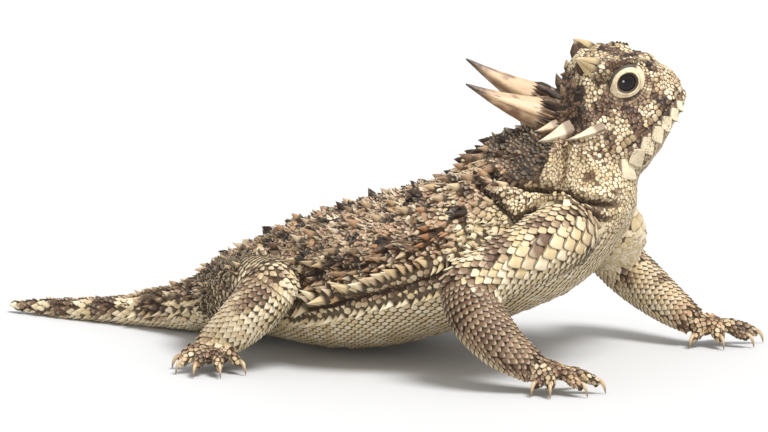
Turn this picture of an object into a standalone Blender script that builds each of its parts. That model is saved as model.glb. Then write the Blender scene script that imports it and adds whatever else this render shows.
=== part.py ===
"""A life-size horned lizard at rest, its chest raised on its forelegs and its head turned to its left.

Lengths are in millimetres and angles in degrees until make_object() scales them to metres.
+X is forward along the trunk, +Y is the animal's left, +Z is up, and the floor is at z = 0.
"""

import math
import random

import bmesh
import bpy
import numpy as np
from mathutils import Matrix, Vector

MM = 0.001
GAP = 0.3                      # between touching nodes
FRAME_SHIFT = Vector((4.0, -0.1, 0.0))    # puts the model's box over the origin
SEED = 11                      # for the spines' small differences
HEAD_RINGS, HEAD_SIDES = 21, 26
LIMB_RINGS, LIMB_SIDES = 8, 12

# Trunk sections from the tail's tip to the head: centre x, y, z, yaw, pitch, half width, reach up, reach down
TRUNK = (
    (-67.0, 0.6, 1.3, 0, 0, 0.8, 0.7, 0.7),
    (-58.0, 0.2, 1.6, 0, 0, 1.8, 1.5, 1.6),
    (-49.0, 0.0, 2.1, 0, 2, 2.7, 1.9, 2.1),
    (-41.0, 0.0, 2.8, 0, 6, 3.8, 2.5, 2.8),
    (-34.5, 0.0, 3.7, 0, 10, 5.4, 3.2, 3.6),
    (-29.0, 0.0, 4.9, 0, 15, 7.6, 4.0, 4.7),
    (-22.0, 0.0, 7.4, 0, 18, 11.2, 5.9, 6.8),
    (-13.0, 0.0, 9.7, 0, 17, 16.2, 8.3, 9.6),
    (-4.0, 0.0, 11.6, 0, 15, 20.6, 10.1, 12.0),
    (5.0, 0.0, 13.3, 0, 15, 23.6, 11.2, 12.6),
    (13.5, 0.0, 15.6, 0, 18, 24.0, 11.6, 12.4),
    (22.0, 0.0, 18.2, 0, 23, 22.0, 11.8, 12.4),
    (28.8, 0.0, 20.9, 0, 36, 18.6, 14.0, 12.0),
    (33.4, 0.2, 24.1, 3, 47, 15.8, 14.4, 11.2),
    (36.2, 0.8, 27.8, 10, 58, 13.6, 14.2, 11.2),
    (37.2, 1.8, 31.3, 20, 66, 12.0, 12.4, 10.8),
    (37.3, 3.2, 34.8, 28, 70, 9.6, 8.6, 8.8),
)
TRUNK_FULLNESS = 0.88          # under 1 squares the sections off a little
TAIL_SPLIT, VENT_SPLIT, NECK_SPLIT = 3.0, 5.2, 14.35
NECK_END = 16.0

# Head sections from the nape to the snout in the head's own frame:
# x, top, crown half width and height, cheek half width and height, jaw half width and height, bottom
HEAD = (
    (-2.6, 4.6, 3.4, 4.6, 5.4, 2.6, 4.8, -1.4, -4.0),
    (-0.6, 6.8, 5.4, 6.8, 8.6, 3.4, 8.0, -2.4, -6.0),
    (2.2, 7.9, 6.4, 8.0, 10.4, 4.0, 10.0, -2.8, -7.6),
    (5.4, 8.7, 6.8, 9.2, 10.4, 4.5, 10.6, -3.2, -8.9),
    (9.0, 10.1, 7.0, 11.5, 9.4, 5.2, 10.3, -3.3, -9.6),
    (13.0, 9.8, 6.6, 10.8, 7.9, 5.5, 9.2, -2.9, -7.6),
    (16.2, 8.3, 5.3, 8.8, 6.6, 4.3, 7.4, -2.4, -5.4),
    (18.6, 6.7, 3.9, 6.8, 5.4, 2.6, 5.5, -1.9, -3.8),
    (20.2, 4.9, 2.7, 4.7, 3.9, 1.4, 3.8, -1.4, -2.8),
    (21.3, 2.8, 1.5, 2.5, 2.0, 0.6, 1.9, -0.9, -1.8),
)
HEAD_ORIGIN = Vector((34.0, 3.0, 33.0))
HEAD_YAW, HEAD_PITCH, HEAD_ROLL = 28, 30, 5

EYE = (13.9, 5.1, 6.5)         # centre of the left eye in the head's frame
EYE_RADIUS = 2.9
LID_THICKNESS = 0.75
EYE_OPENING = (1.75, 1.5)      # half length and half height between the lids
MOUTH_CORNER_X = 8.6
MOUTH_FRONT_Z, MOUTH_CORNER_Z = -0.7, -2.6
NOSTRIL = (20.3, 2.2, 5.2)
EAR = (1.2, 9.6, 1.8)

# Horns in the head's frame, left side: base, tip, base radius
OCCIPITAL_HORNS = {1: ((0.9, 5.0, 8.0), (-6.2, 7.2, 19.5), 2.3), -1: ((0.9, 5.2, 7.8), (-7.5, 7.3, 18.9), 2.3)}
TEMPORAL_HORNS = (
    ((0.6, 8.4, 5.6), (-3.2, 11.6, 8.2), 1.45),
    ((2.6, 9.6, 3.9), (-0.6, 13.4, 4.9), 1.35),
    ((5.0, 10.3, 2.4), (3.0, 14.2, 2.6), 1.2),
)
BROW_SPINE = ((10.6, 6.4, 10.6), (9.4, 7.4, 13.8), 1.9)
BROW_BUMPS = ((15.0, 9.9, 5.9, 0.5), (12.8, 10.8, 6.6, 0.5))      # x, z, y, height
CROWN_SPINES = ((6.8, 4.6, 9.0, 1.8), (4.0, 7.4, 6.8, 2.0))      # x, y, z, length

# Limbs: points x, y, z and radius from inside the trunk to the elbow or knee, and from there to the wrist or ankle
RIGHT_ARM = ((38.0, -5.0, 23.0, 4.6), (40.5, -12.5, 22.4, 5.2), (35.5, -19.5, 18.8, 4.8), (29.6, -24.0, 15.2, 4.2))
RIGHT_FOREARM = ((29.6, -24.0, 15.2, 4.2), (32.0, -25.4, 11.2, 4.3), (36.2, -25.8, 7.2, 3.7), (40.4, -25.0, 4.3, 2.7))
LEFT_ARM = ((34.5, 7.0, 21.5, 4.6), (37.4, 13.0, 20.4, 5.0), (36.0, 20.5, 17.2, 4.7), (32.6, 26.0, 13.6, 4.1))
LEFT_FOREARM = ((32.6, 26.0, 13.6, 4.1), (36.8, 25.8, 10.3, 4.1), (42.6, 24.0, 7.0, 3.5), (47.6, 22.6, 4.6, 2.6))
RIGHT_THIGH = ((-21.0, -5.0, 7.8, 4.4), (-18.0, -12.5, 9.2, 5.2), (-10.0, -20.0, 12.2, 5.0), (-2.6, -26.0, 13.6, 4.1))
RIGHT_SHANK = ((-2.6, -26.0, 13.6, 4.1), (-4.6, -27.6, 10.4, 4.2), (-8.6, -28.4, 6.4, 3.6), (-12.0, -28.6, 3.9, 2.8))
# Hands and feet: palm centre x, y, z, its radii, and the place on the floor of each claw's tip
RIGHT_HAND = ((43.4, -24.4, 3.5), (3.7, 2.9, 1.9), ((42.6, -28.8), (45.8, -28.9), (50.4, -25.4), (51.6, -21.2), (46.2, -18.8)))
LEFT_HAND = ((50.8, 23.6, 3.5), (3.7, 3.0, 1.9), ((49.6, 18.8), (55.0, 20.2), (58.6, 24.4), (58.4, 29.2), (51.6, 29.4)))
RIGHT_FOOT = ((-11.4, -30.0, 2.9), (4.3, 3.4, 2.1), ((-17.2, -32.6), (-14.4, -36.4), (-10.4, -38.0), (-6.4, -36.6), (-4.2, -32.4)))
LEFT_FOOT = ((-11.4, 30.0, 2.9), (4.3, 3.4, 2.1), ((-17.6, 33.4), (-14.2, 36.9), (-9.9, 38.2), (-6.3, 36.4), (-4.6, 33.0)))
CLAW_LENGTH = 3.2


def direction(yaw, pitch):
    yaw, pitch = math.radians(yaw), math.radians(pitch)
    return Vector((math.cos(yaw) * math.cos(pitch), math.sin(yaw) * math.cos(pitch), math.sin(pitch)))


def smooth_row(rows, t):
    """A Catmull-Rom curve through the rows, at the row number t."""
    last = len(rows) - 1
    t = min(max(t, 0.0), float(last))
    i = min(int(t), last - 1)
    f = t - i
    a, b, c, d = (rows[min(max(i + k, 0), last)] for k in (-1, 0, 1, 2))
    return 0.5 * (2 * b + (c - a) * f + (2 * a - 5 * b + 4 * c - d) * f ** 2 + (3 * b - a - 3 * c + d) * f ** 3)


def signed_power(value, power):
    return math.copysign(abs(value) ** power, value)


class Form:
    """A body form: point(t, v) runs along it with t and once round it with v, from the top over the left side."""

    def normal(self, t, v):
        step = 0.02
        along = self.point(min(t + step, self.last), v) - self.point(max(t - step, 0), v)
        around = self.point(t, v + step / 4) - self.point(t, v - step / 4)
        return along.cross(around).normalized()

    def heading(self, t):
        """The way the form runs at t."""
        ahead, behind = min(t + 0.02, self.last), max(t - 0.02, 0)
        step = self.point(ahead, 0) + self.point(ahead, 0.5) - self.point(behind, 0) - self.point(behind, 0.5)
        return step.normalized()

    def mesh(self, start, end, rings, sides, grow=0.0, trim=(0.0, 0.0)):
        """The form between start and end as a closed bmesh, its skin moved out by grow and its ends moved in by trim."""
        bm = bmesh.new()
        loops = []
        for i in range(rings):
            t = start + (end - start) * i / (rings - 1)
            verts = []
            for j in range(sides):
                v = j / sides
                place = self.point(t, v)
                if grow:
                    place = place + self.normal(t, v) * grow
                if i == 0:
                    place = place + self.heading(t) * (trim[0] - grow)
                elif i == rings - 1:
                    place = place - self.heading(t) * (trim[1] - grow)
                verts.append(bm.verts.new(place))
            loops.append([bm.edges.new((verts[j - 1], verts[j])) for j in range(sides)])
        for first, second in zip(loops, loops[1:]):
            bmesh.ops.bridge_loops(bm, edges=first + second)
        for end_loop in (loops[0], loops[-1]):
            bmesh.ops.contextual_create(bm, geom=end_loop)
        bmesh.ops.recalc_face_normals(bm, faces=bm.faces)
        return bm


class Trunk(Form):
    """Tail, torso and neck: oval sections that turn and tilt along the spine."""

    def __init__(self):
        self.rows = [np.array(row, float) for row in TRUNK]
        self.last = len(TRUNK) - 1.0

    def point(self, t, v):
        x, y, z, yaw, pitch, wide, top, low = smooth_row(self.rows, t)
        forward = direction(yaw, pitch)
        side = direction(yaw + 90, 0)
        up = forward.cross(side)
        across = signed_power(math.sin(math.tau * v), TRUNK_FULLNESS)
        rise = signed_power(math.cos(math.tau * v), TRUNK_FULLNESS)
        return Vector((x, y, z)) + side * across * wide + up * rise * (top if rise > 0 else low)


class Head(Form):
    """The skull with its skin: each section runs crown, cheek, jaw and chin."""

    def __init__(self):
        self.rows = [np.array(row, float) for row in HEAD]
        self.last = len(HEAD) - 1.0
        self.frame = (Matrix.Translation(HEAD_ORIGIN)
                      @ Matrix.Rotation(math.radians(HEAD_YAW), 4, "Z")
                      @ Matrix.Rotation(math.radians(HEAD_ROLL), 4, "X")
                      @ Matrix.Rotation(math.radians(-HEAD_PITCH), 4, "Y"))

    def local(self, t, v):
        x, top, crown_w, crown_z, cheek_w, cheek_z, jaw_w, jaw_z, low = smooth_row(self.rows, t)
        round_points = [np.array(p) for p in (
            (0, top), (crown_w, crown_z), (cheek_w, cheek_z), (jaw_w, jaw_z), (0, low),
            (-jaw_w, jaw_z), (-cheek_w, cheek_z), (-crown_w, crown_z))]
        turn = (v % 1.0) * 8
        i = int(turn)
        near = [round_points[(i + k) % 8] for k in (-1, 0, 1, 2)]
        y, z = smooth_row(near, 1 + turn - i)
        return Vector((x, y, z))

    def point(self, t, v):
        return self.frame @ self.local(t, v)

    def row_at(self, x):
        """The section number at the head's own x."""
        xs = [row[0] for row in HEAD]
        return float(np.interp(x, xs, range(len(xs))))


class Limb(Form):
    """A round form along a bent path of x, y, z and radius."""

    def __init__(self, points, flat=1.0):
        self.rows = [np.array(p, float) for p in points]
        self.last = len(points) - 1.0
        self.flat = flat

    def axes(self, t):
        step = 0.05
        ahead = smooth_row(self.rows, t + step)[:3] - smooth_row(self.rows, t - step)[:3]
        forward = Vector(ahead).normalized()
        side = Vector((0, 0, 1)).cross(forward).normalized()
        return forward, side, forward.cross(side)

    def point(self, t, v):
        x, y, z, radius = smooth_row(self.rows, t)
        _, side, up = self.axes(t)
        return Vector((x, y, z)) + (side * math.sin(math.tau * v) + up * math.cos(math.tau * v) * self.flat) * float(radius)


def make_object(name, bm, colour=None, roughness=0.75):
    """Turns a bmesh in millimetres into an object in metres."""
    bmesh.ops.translate(bm, verts=bm.verts, vec=FRAME_SHIFT)
    bmesh.ops.scale(bm, verts=bm.verts, vec=(MM, MM, MM))
    mesh = bpy.data.meshes.new(name)
    bm.to_mesh(mesh)
    bm.free()
    obj = bpy.data.objects.new(name, mesh)
    bpy.context.scene.collection.objects.link(obj)
    if colour:
        paint(obj, colour, roughness)
    return obj


def paint(obj, colour, roughness):
    material = bpy.data.materials.new(obj.name)
    material.use_nodes = True
    shader = material.node_tree.nodes["Principled BSDF"]
    shader.inputs["Base Color"].default_value = (*colour, 1)
    shader.inputs["Roughness"].default_value = roughness
    shader.inputs["Metallic"].default_value = 0
    obj.data.materials.clear()
    obj.data.materials.append(material)


def combine(obj, pieces, operation):
    """One Boolean of obj with all the pieces, applied. The pieces are removed and the largest surface is kept."""
    if not pieces:
        return obj
    group = bpy.data.collections.new(obj.name + "_pieces")
    bpy.context.scene.collection.children.link(group)
    for piece in pieces:
        bpy.context.scene.collection.objects.unlink(piece)
        group.objects.link(piece)
    modifier = obj.modifiers.new(operation, "BOOLEAN")
    modifier.operation = operation
    modifier.operand_type = "COLLECTION"
    modifier.collection = group
    modifier.solver = "MANIFOLD"
    graph = bpy.context.evaluated_depsgraph_get()
    result = bpy.data.meshes.new_from_object(obj.evaluated_get(graph))
    obj.modifiers.clear()
    obj.data = result
    for piece in pieces:
        bpy.data.objects.remove(piece)
    bpy.data.collections.remove(group)
    keep_largest(obj)
    return obj


def keep_largest(obj):
    """Drops every closed surface but the one with the most faces."""
    bm = bmesh.new()
    bm.from_mesh(obj.data)
    seen, shells = set(), []
    for start in bm.faces:
        if start in seen:
            continue
        shell, queue = [], [start]
        seen.add(start)
        while queue:
            face = queue.pop()
            shell.append(face)
            for edge in face.edges:
                for other in edge.link_faces:
                    if other not in seen:
                        seen.add(other)
                        queue.append(other)
        shells.append(shell)
    shells.sort(key=len, reverse=True)
    for shell in shells[1:]:
        bmesh.ops.delete(bm, geom=shell, context="FACES")
    bm.to_mesh(obj.data)
    bm.free()


def spike(base, tip, radius, sides=5, wide=None, sink=0.8, name="spike"):
    """A cone from base to tip, its root sunk below base. wide gives a flattened spike its width along its flat side."""
    base, tip = Vector(base), Vector(tip)
    axis = (tip - base).normalized()
    foot = base - axis * sink
    length = (tip - foot).length
    bm = bmesh.new()
    bmesh.ops.create_cone(bm, cap_ends=True, segments=sides, radius1=radius, radius2=0.0, depth=length)
    bmesh.ops.translate(bm, verts=bm.verts, vec=(0, 0, length / 2))
    if wide:
        bmesh.ops.scale(bm, verts=bm.verts, vec=(1, wide / radius, 1))
    turn = axis.to_track_quat("Z", "Y").to_matrix().to_4x4()
    bmesh.ops.transform(bm, matrix=Matrix.Translation(foot) @ turn, verts=bm.verts)
    return make_object(name, bm)


def ball(centre, radii, turn=Matrix.Identity(4), rings=8, sides=12, name="ball"):
    bm = bmesh.new()
    bmesh.ops.create_uvsphere(bm, u_segments=sides, v_segments=rings, radius=1)
    bmesh.ops.scale(bm, verts=bm.verts, vec=radii)
    bmesh.ops.transform(bm, matrix=Matrix.Translation(centre) @ turn, verts=bm.verts)
    return make_object(name, bm)


def floor_block():
    """Everything below the floor, as a cutter."""
    bm = bmesh.new()
    bmesh.ops.create_cube(bm, size=1)
    bmesh.ops.scale(bm, verts=bm.verts, vec=(220, 160, 10))
    bmesh.ops.translate(bm, verts=bm.verts, vec=(0, 0, -5))
    return make_object("floor_cutter", bm)


def mirrored(points):
    return tuple((x, -y, *rest) for x, y, *rest in points)


def core(form, start, end, rings, sides, name, trim=(0.0, 0.0)):
    """A form as an object between two of its sections."""
    return make_object(name, form.mesh(start, end, rings, sides, 0.0, trim))


def cutter_of(form, grow=GAP, rings=14, sides=24):
    return make_object("cutter", form.mesh(0.0, form.last, rings, sides, grow))


def path_length(form, start, end, steps=24):
    places = [form.point(start + (end - start) * i / steps, 0.25) for i in range(steps + 1)]
    return sum((b - a).length for a, b in zip(places, places[1:]))


def build_digit(start, tip, claw, thick=1.35):
    """A toe from the palm to its claw's tip on the floor: the toe arches and the claw curves down."""
    start, end = Vector(start), Vector((tip[0], tip[1], 0.25))
    out = Vector((end.x - start.x, end.y - start.y, 0))
    length = out.length
    out.normalize()
    joint = start + out * (length - claw * 0.72)
    middle = (start + joint) / 2
    toe = Limb(((*start, thick), (middle.x, middle.y, 3.5, thick * 0.88), (joint.x, joint.y, 2.55, thick * 0.74)))
    nail_mid = joint + out * claw * 0.5
    nail = Limb(((joint.x - out.x * 0.7, joint.y - out.y * 0.7, 2.9, 0.72), (nail_mid.x, nail_mid.y, 2.35, 0.5),
                 (end.x, end.y, 0.05, 0.2)))
    return [make_object("toe", toe.mesh(0, 2, 4, 6)), make_object("claw", nail.mesh(0, 2, 4, 4))]


def build_hand(name, spec, colour):
    centre, radii, tips = spec
    palm = ball(centre, radii, rings=7, sides=11, name=name)
    paint(palm, colour, 0.7)
    pieces = []
    for number, tip in enumerate(tips):
        away = Vector((tip[0] - centre[0], tip[1] - centre[1], 0)).normalized()
        start = Vector(centre) + Vector((away.x * radii[0] * 0.4, away.y * radii[1] * 0.4, -0.1))
        pieces += build_digit(start, tip, CLAW_LENGTH, 1.37 - 0.037 * number)
    combine(palm, pieces, "UNION")
    combine(palm, [floor_block()], "DIFFERENCE")


def palm_cutter(spec):
    centre, radii, _ = spec
    return ball(centre, [r + GAP for r in radii], rings=8, sides=14, name="cutter")


def spine_on(form, t, v, length, radius, lean=0.55, wide=None, sides=5):
    """A spine rooted on a form at (t, v), leaning back along it."""
    root = form.point(t, v)
    normal = form.normal(t, v)
    back = (form.point(t - 0.05, v) - form.point(t + 0.05, v)).normalized()
    aim = (normal + back * lean).normalized()
    return spike(root, root + aim * length, radius, sides=sides, wide=wide)


def clear_of_limbs(place, limbs, room):
    for points in limbs:
        rows = [np.array(p, float) for p in points]
        for i in range(0, 31):
            x, y, z, radius = smooth_row(rows, i / 10)
            if (Vector((x, y, z)) - place).length < radius + room:
                return False
    return True


def trunk_spines(trunk, start, end, spacing, columns, limbs, rng):
    """Rows of leaning spines over the back. Each column is (v, length, radius)."""
    pieces = []
    length = path_length(trunk, start, end)
    count = max(int(length / spacing), 1)
    for index, (v, long, wide) in enumerate(columns):
        for i in range(count):
            t = start + (end - start) * (i + 0.35 + 0.4 * (index % 2)) / count
            for side in (1, -1):
                at = side * (v + rng.uniform(-0.006, 0.006))
                place = trunk.point(t, at)
                if not clear_of_limbs(place, limbs, 1.6):
                    continue
                pieces.append(spine_on(trunk, t, at, long * rng.uniform(0.85, 1.15), wide, lean=rng.uniform(0.45, 0.7)))
    return pieces


def fringe(trunk, start, end, spacing, v, long, wide, limbs, rng):
    """A row of flat pointed scales along each flank."""
    pieces = []
    count = int(path_length(trunk, start, end) / spacing)
    for i in range(count):
        t = start + (end - start) * (i + 0.5) / count
        for side in (1, -1):
            at = side * v
            place = trunk.point(t, at)
            if not clear_of_limbs(place, limbs, 1.6):
                continue
            size = long * rng.uniform(0.85, 1.1)
            normal = trunk.normal(t, at)
            back = (trunk.point(t - 0.05, at) - trunk.point(t + 0.05, at)).normalized()
            aim = (normal + back * 0.75).normalized()
            thin = aim.cross(back).normalized()
            pieces.append(flat_spike(place, aim, thin, size, wide, 0.55))
    return pieces


def flat_spike(base, aim, thin, length, half_width, half_thick, sink=0.9):
    """A four-sided spine, wide one way and thin the other."""
    base, aim, thin = Vector(base), Vector(aim), Vector(thin)
    broad = aim.cross(thin).normalized()
    thin = broad.cross(aim).normalized()
    foot = base - aim * sink
    bm = bmesh.new()
    ring = [bm.verts.new(foot + broad * a * half_width + thin * b * half_thick) for a, b in ((1, 0), (0, 1), (-1, 0), (0, -1))]
    tip = bm.verts.new(base + aim * length)
    bmesh.ops.contextual_create(bm, geom=ring)
    for i in range(4):
        bmesh.ops.contextual_create(bm, geom=[ring[i], ring[(i + 1) % 4], tip])
    bmesh.ops.recalc_face_normals(bm, faces=bm.faces)
    return make_object("spine", bm)


def head_spike(head, base, tip, radius, sides=5, grow=0.0):
    base, tip = head.frame @ Vector(base), head.frame @ Vector(tip)
    tip = tip + (tip - base).normalized() * grow * 3
    return spike(base, tip, radius + grow * 1.3, sides=sides, sink=0.8 + grow)


def jaw_spines(head, grow=0.0):
    """The pointed scales under the mouth and the larger ones at the jaw's angle."""
    pieces = []
    for side in (1, -1):
        for x, z, long in ((18.6, -2.2, 1.0), (16.8, -2.9, 1.3), (14.6, -3.6, 1.6), (12.2, -4.2, 1.9),
                           (9.8, -4.8, 2.3), (7.2, -5.0, 3.0)):
            y = head_side_at(head, x, z)
            pieces.append(head_spike(head, (x, side * (y - 0.3), z), (x - 1.2, side * (y + long), z - 0.9), 1.15, grow=grow))
        for x, z, long in ((5.6, -8.0, 2.2), (2.4, -7.6, 2.0)):
            y = head_side_at(head, x, z)
            tip = (x - 1.4, side * (y + long * 0.7), z - long * 0.7)
            pieces.append(head_spike(head, (x, side * (y - 0.3), z), tip, 1.2, grow=grow))
    return pieces


def horn_form(head, spec, side):
    """A horn with a swollen collar at its root."""
    base, tip, radius = spec
    base, tip = Vector(base), Vector(tip)
    base.y *= side
    tip.y *= side
    axis = tip - base
    bow = Vector((0, 0, 1)) * axis.length * 0.05
    points = []
    for f, r in ((-0.25, 1.0), (0.0, 1.12), (0.12, 1.0), (0.3, 0.8), (0.65, 0.46), (1.0, 0.07)):
        place = head.frame @ (base + axis * f - bow * 4 * f * (1 - f))
        points.append((*place, radius * r))
    return Limb(points)


def build_horn(head, name, spec, side, colour):
    form = horn_form(head, spec, side)
    horn = make_object(name, form.mesh(0, form.last, 8, 8), colour, 0.45)
    combine(horn, [cutter_of(head, rings=HEAD_RINGS, sides=HEAD_SIDES)], "DIFFERENCE")


def lip_rolls(head):
    """Two thin rolls that follow the mouth, one above it and one below."""
    rolls = []
    for offset, radius in ((0.75, 0.62), (-0.8, 0.6)):
        for side in (1, -1):
            points = []
            for i in range(7):
                f = i / 6
                x = MOUTH_CORNER_X + 0.4 + (21.6 - MOUTH_CORNER_X) * f
                z = mouth_height(x) + offset
                y = head_side_at(head, x, z) - radius * 0.35
                points.append((*(head.frame @ Vector((x, side * y, z))), radius * (0.6 + 0.4 * math.sin(math.pi * min(f + 0.25, 0.75)))))
            form = Limb(points)
            rolls.append(make_object("lip", form.mesh(0, form.last, 9, 5)))
    return rolls


def mouth_height(x):
    f = (x - MOUTH_CORNER_X) / (22.6 - MOUTH_CORNER_X)
    return MOUTH_CORNER_Z + (MOUTH_FRONT_Z - MOUTH_CORNER_Z) * f


def head_side_at(head, x, z):
    """The half width of the head at a height in its section."""
    t = head.row_at(x)
    best = min((head.local(t, i / 120) for i in range(8, 56)), key=lambda p: abs(p.z - z))
    return best.y


def mouth_cutter(head):
    """A thin wedge that parts the jaws from the snout back to the corners of the mouth."""
    bm = bmesh.new()
    half = 0.2
    outline = [(MOUTH_CORNER_X, MOUTH_CORNER_Z, 0.06), (26.0, mouth_height(26.0), half)]
    corners = []
    for x, z, thick in outline:
        for y in (-16, 16):
            for sign in (-1, 1):
                corners.append(bm.verts.new(head.frame @ Vector((x, y, z + sign * thick))))
    bmesh.ops.convex_hull(bm, input=corners)
    bmesh.ops.recalc_face_normals(bm, faces=bm.faces)
    return make_object("mouth", bm)


def neck_spines(trunk, head):
    """Short spines over the nape and the sides of the neck."""
    pieces = []
    for side in (1, -1):
        for t, v, long in ((14.8, 0.06, 1.6), (14.9, 0.16, 2.0), (14.8, 0.24, 2.2), (15.2, 0.2, 1.8)):
            pieces.append(spine_on(trunk, t, side * v, long, 0.9, sides=4))
    return pieces


def build_head(trunk):
    head = Head()
    skull = core(head, 0.0, head.last, HEAD_RINGS, HEAD_SIDES, "head")
    paint(skull, (0.62, 0.52, 0.40), 0.75)
    pieces = lip_rolls(head)
    for side in (1, -1):
        centre = head.frame @ Vector((EYE[0], side * EYE[1], EYE[2]))
        pieces.append(ball(centre, [EYE_RADIUS + GAP + LID_THICKNESS] * 3, rings=9, sides=14, name="lid"))
        base, tip, radius = BROW_SPINE
        pieces.append(head_spike(head, (base[0], side * base[1], base[2]), (tip[0], side * tip[1], tip[2]), radius))
        for x, z, y, size in BROW_BUMPS:
            pieces.append(head_spike(head, (x, side * y, z - 0.5), (x - 0.8, side * (y + 0.5), z + size), 1.3))
        for x, y, z, long in CROWN_SPINES:
            pieces.append(head_spike(head, (x, side * y, z), (x - long * 0.75, side * (y + 0.6), z + long * 0.8), 1.1))
    pieces += jaw_spines(head)
    pieces.append(head_spike(head, (3.6, 0, 7.8), (2.0, 0, 11.3), 1.4))
    combine(skull, pieces, "UNION")

    cuts = [mouth_cutter(head)]
    for side in (1, -1):
        centre = head.frame @ Vector((EYE[0], side * EYE[1], EYE[2]))
        cuts.append(ball(centre, [EYE_RADIUS + GAP] * 3, rings=9, sides=14, name="socket"))
        tube = Limb([(*(head.frame @ Vector((EYE[0] + side * 0, side * (EYE[1] + d), EYE[2] + 0.1))), r)
                     for d, r in ((0.5, EYE_OPENING[0]), (6.0, EYE_OPENING[0] * 1.15))], flat=EYE_OPENING[1] / EYE_OPENING[0])
        cuts.append(make_object("opening", tube.mesh(0, 1, 2, 14)))
        nostril = head.frame @ Vector((NOSTRIL[0], side * NOSTRIL[1], NOSTRIL[2] - 1.2))
        cuts.append(ball(nostril, (0.75, 0.75, 0.75), rings=6, sides=8, name="nostril"))
        ear = head.frame @ Vector((EAR[0], side * EAR[1], EAR[2]))
        cuts.append(ball(ear, (1.1, 1.1, 1.7), rings=8, sides=10, name="ear"))
    combine(skull, cuts, "DIFFERENCE")
    for side, label in ((1, "left"), (-1, "right")):
        centre = head.frame @ Vector((EYE[0], side * EYE[1], EYE[2]))
        paint(ball(centre, [EYE_RADIUS] * 3, rings=9, sides=14, name="eye_" + label), (0.02, 0.015, 0.01), 0.12)
        build_horn(head, "horn_occipital_" + label, OCCIPITAL_HORNS[side], side, (0.66, 0.50, 0.38))
        for number, spec in enumerate(TEMPORAL_HORNS, 1):
            build_horn(head, f"horn_temporal_{number}_{label}", spec, side, (0.80, 0.72, 0.60))
    return head


def limb_spines(form, trunk, start, end, count, columns):
    """Short keeled scales in a few rows along a limb."""
    pieces = []
    for i in range(count):
        t = start + (end - start) * (i + 0.5) / count
        for v in columns:
            pieces.append(spine_on(form, t, v, 1.5, 0.85, lean=-1.0, sides=4))
    return pieces


def build_limb(label, upper, lower, end_spec, names, trunk, colour, rear):
    """Three nodes: the hand or foot whole, and the two segments each cut back to face its neighbour."""
    build_hand(f"{names[2]}_{label}", end_spec, colour)
    lower_form, upper_form = Limb(lower), Limb(upper)

    def segment(form, points, start_ball, rings, sides, grow, name):
        obj = make_object(name, form.mesh(0, form.last, rings, sides, grow))
        if start_ball:
            x, y, z, radius = points[0]
            combine(obj, [ball((x, y, z), [radius + grow] * 3, rings=7, sides=12)], "UNION")
        return obj

    forearm = segment(lower_form, lower, True, LIMB_RINGS, LIMB_SIDES, 0.0, f"{names[1]}_{label}")
    paint(forearm, colour, 0.75)
    combine(forearm, limb_spines(lower_form, trunk, 1.35, 2.1, 3, rear), "UNION")
    combine(forearm, [palm_cutter(end_spec), cutter_of(trunk, rings=30, sides=28)], "DIFFERENCE")
    arm = segment(upper_form, upper, False, LIMB_RINGS, LIMB_SIDES, 0.0, f"{names[0]}_{label}")
    paint(arm, colour, 0.75)
    combine(arm, limb_spines(upper_form, trunk, 1.2, 2.5, 4, rear), "UNION")
    combine(arm, [segment(lower_form, lower, True, LIMB_RINGS, LIMB_SIDES, GAP, "cutter"), cutter_of(trunk, rings=30, sides=28)], "DIFFERENCE")


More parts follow.
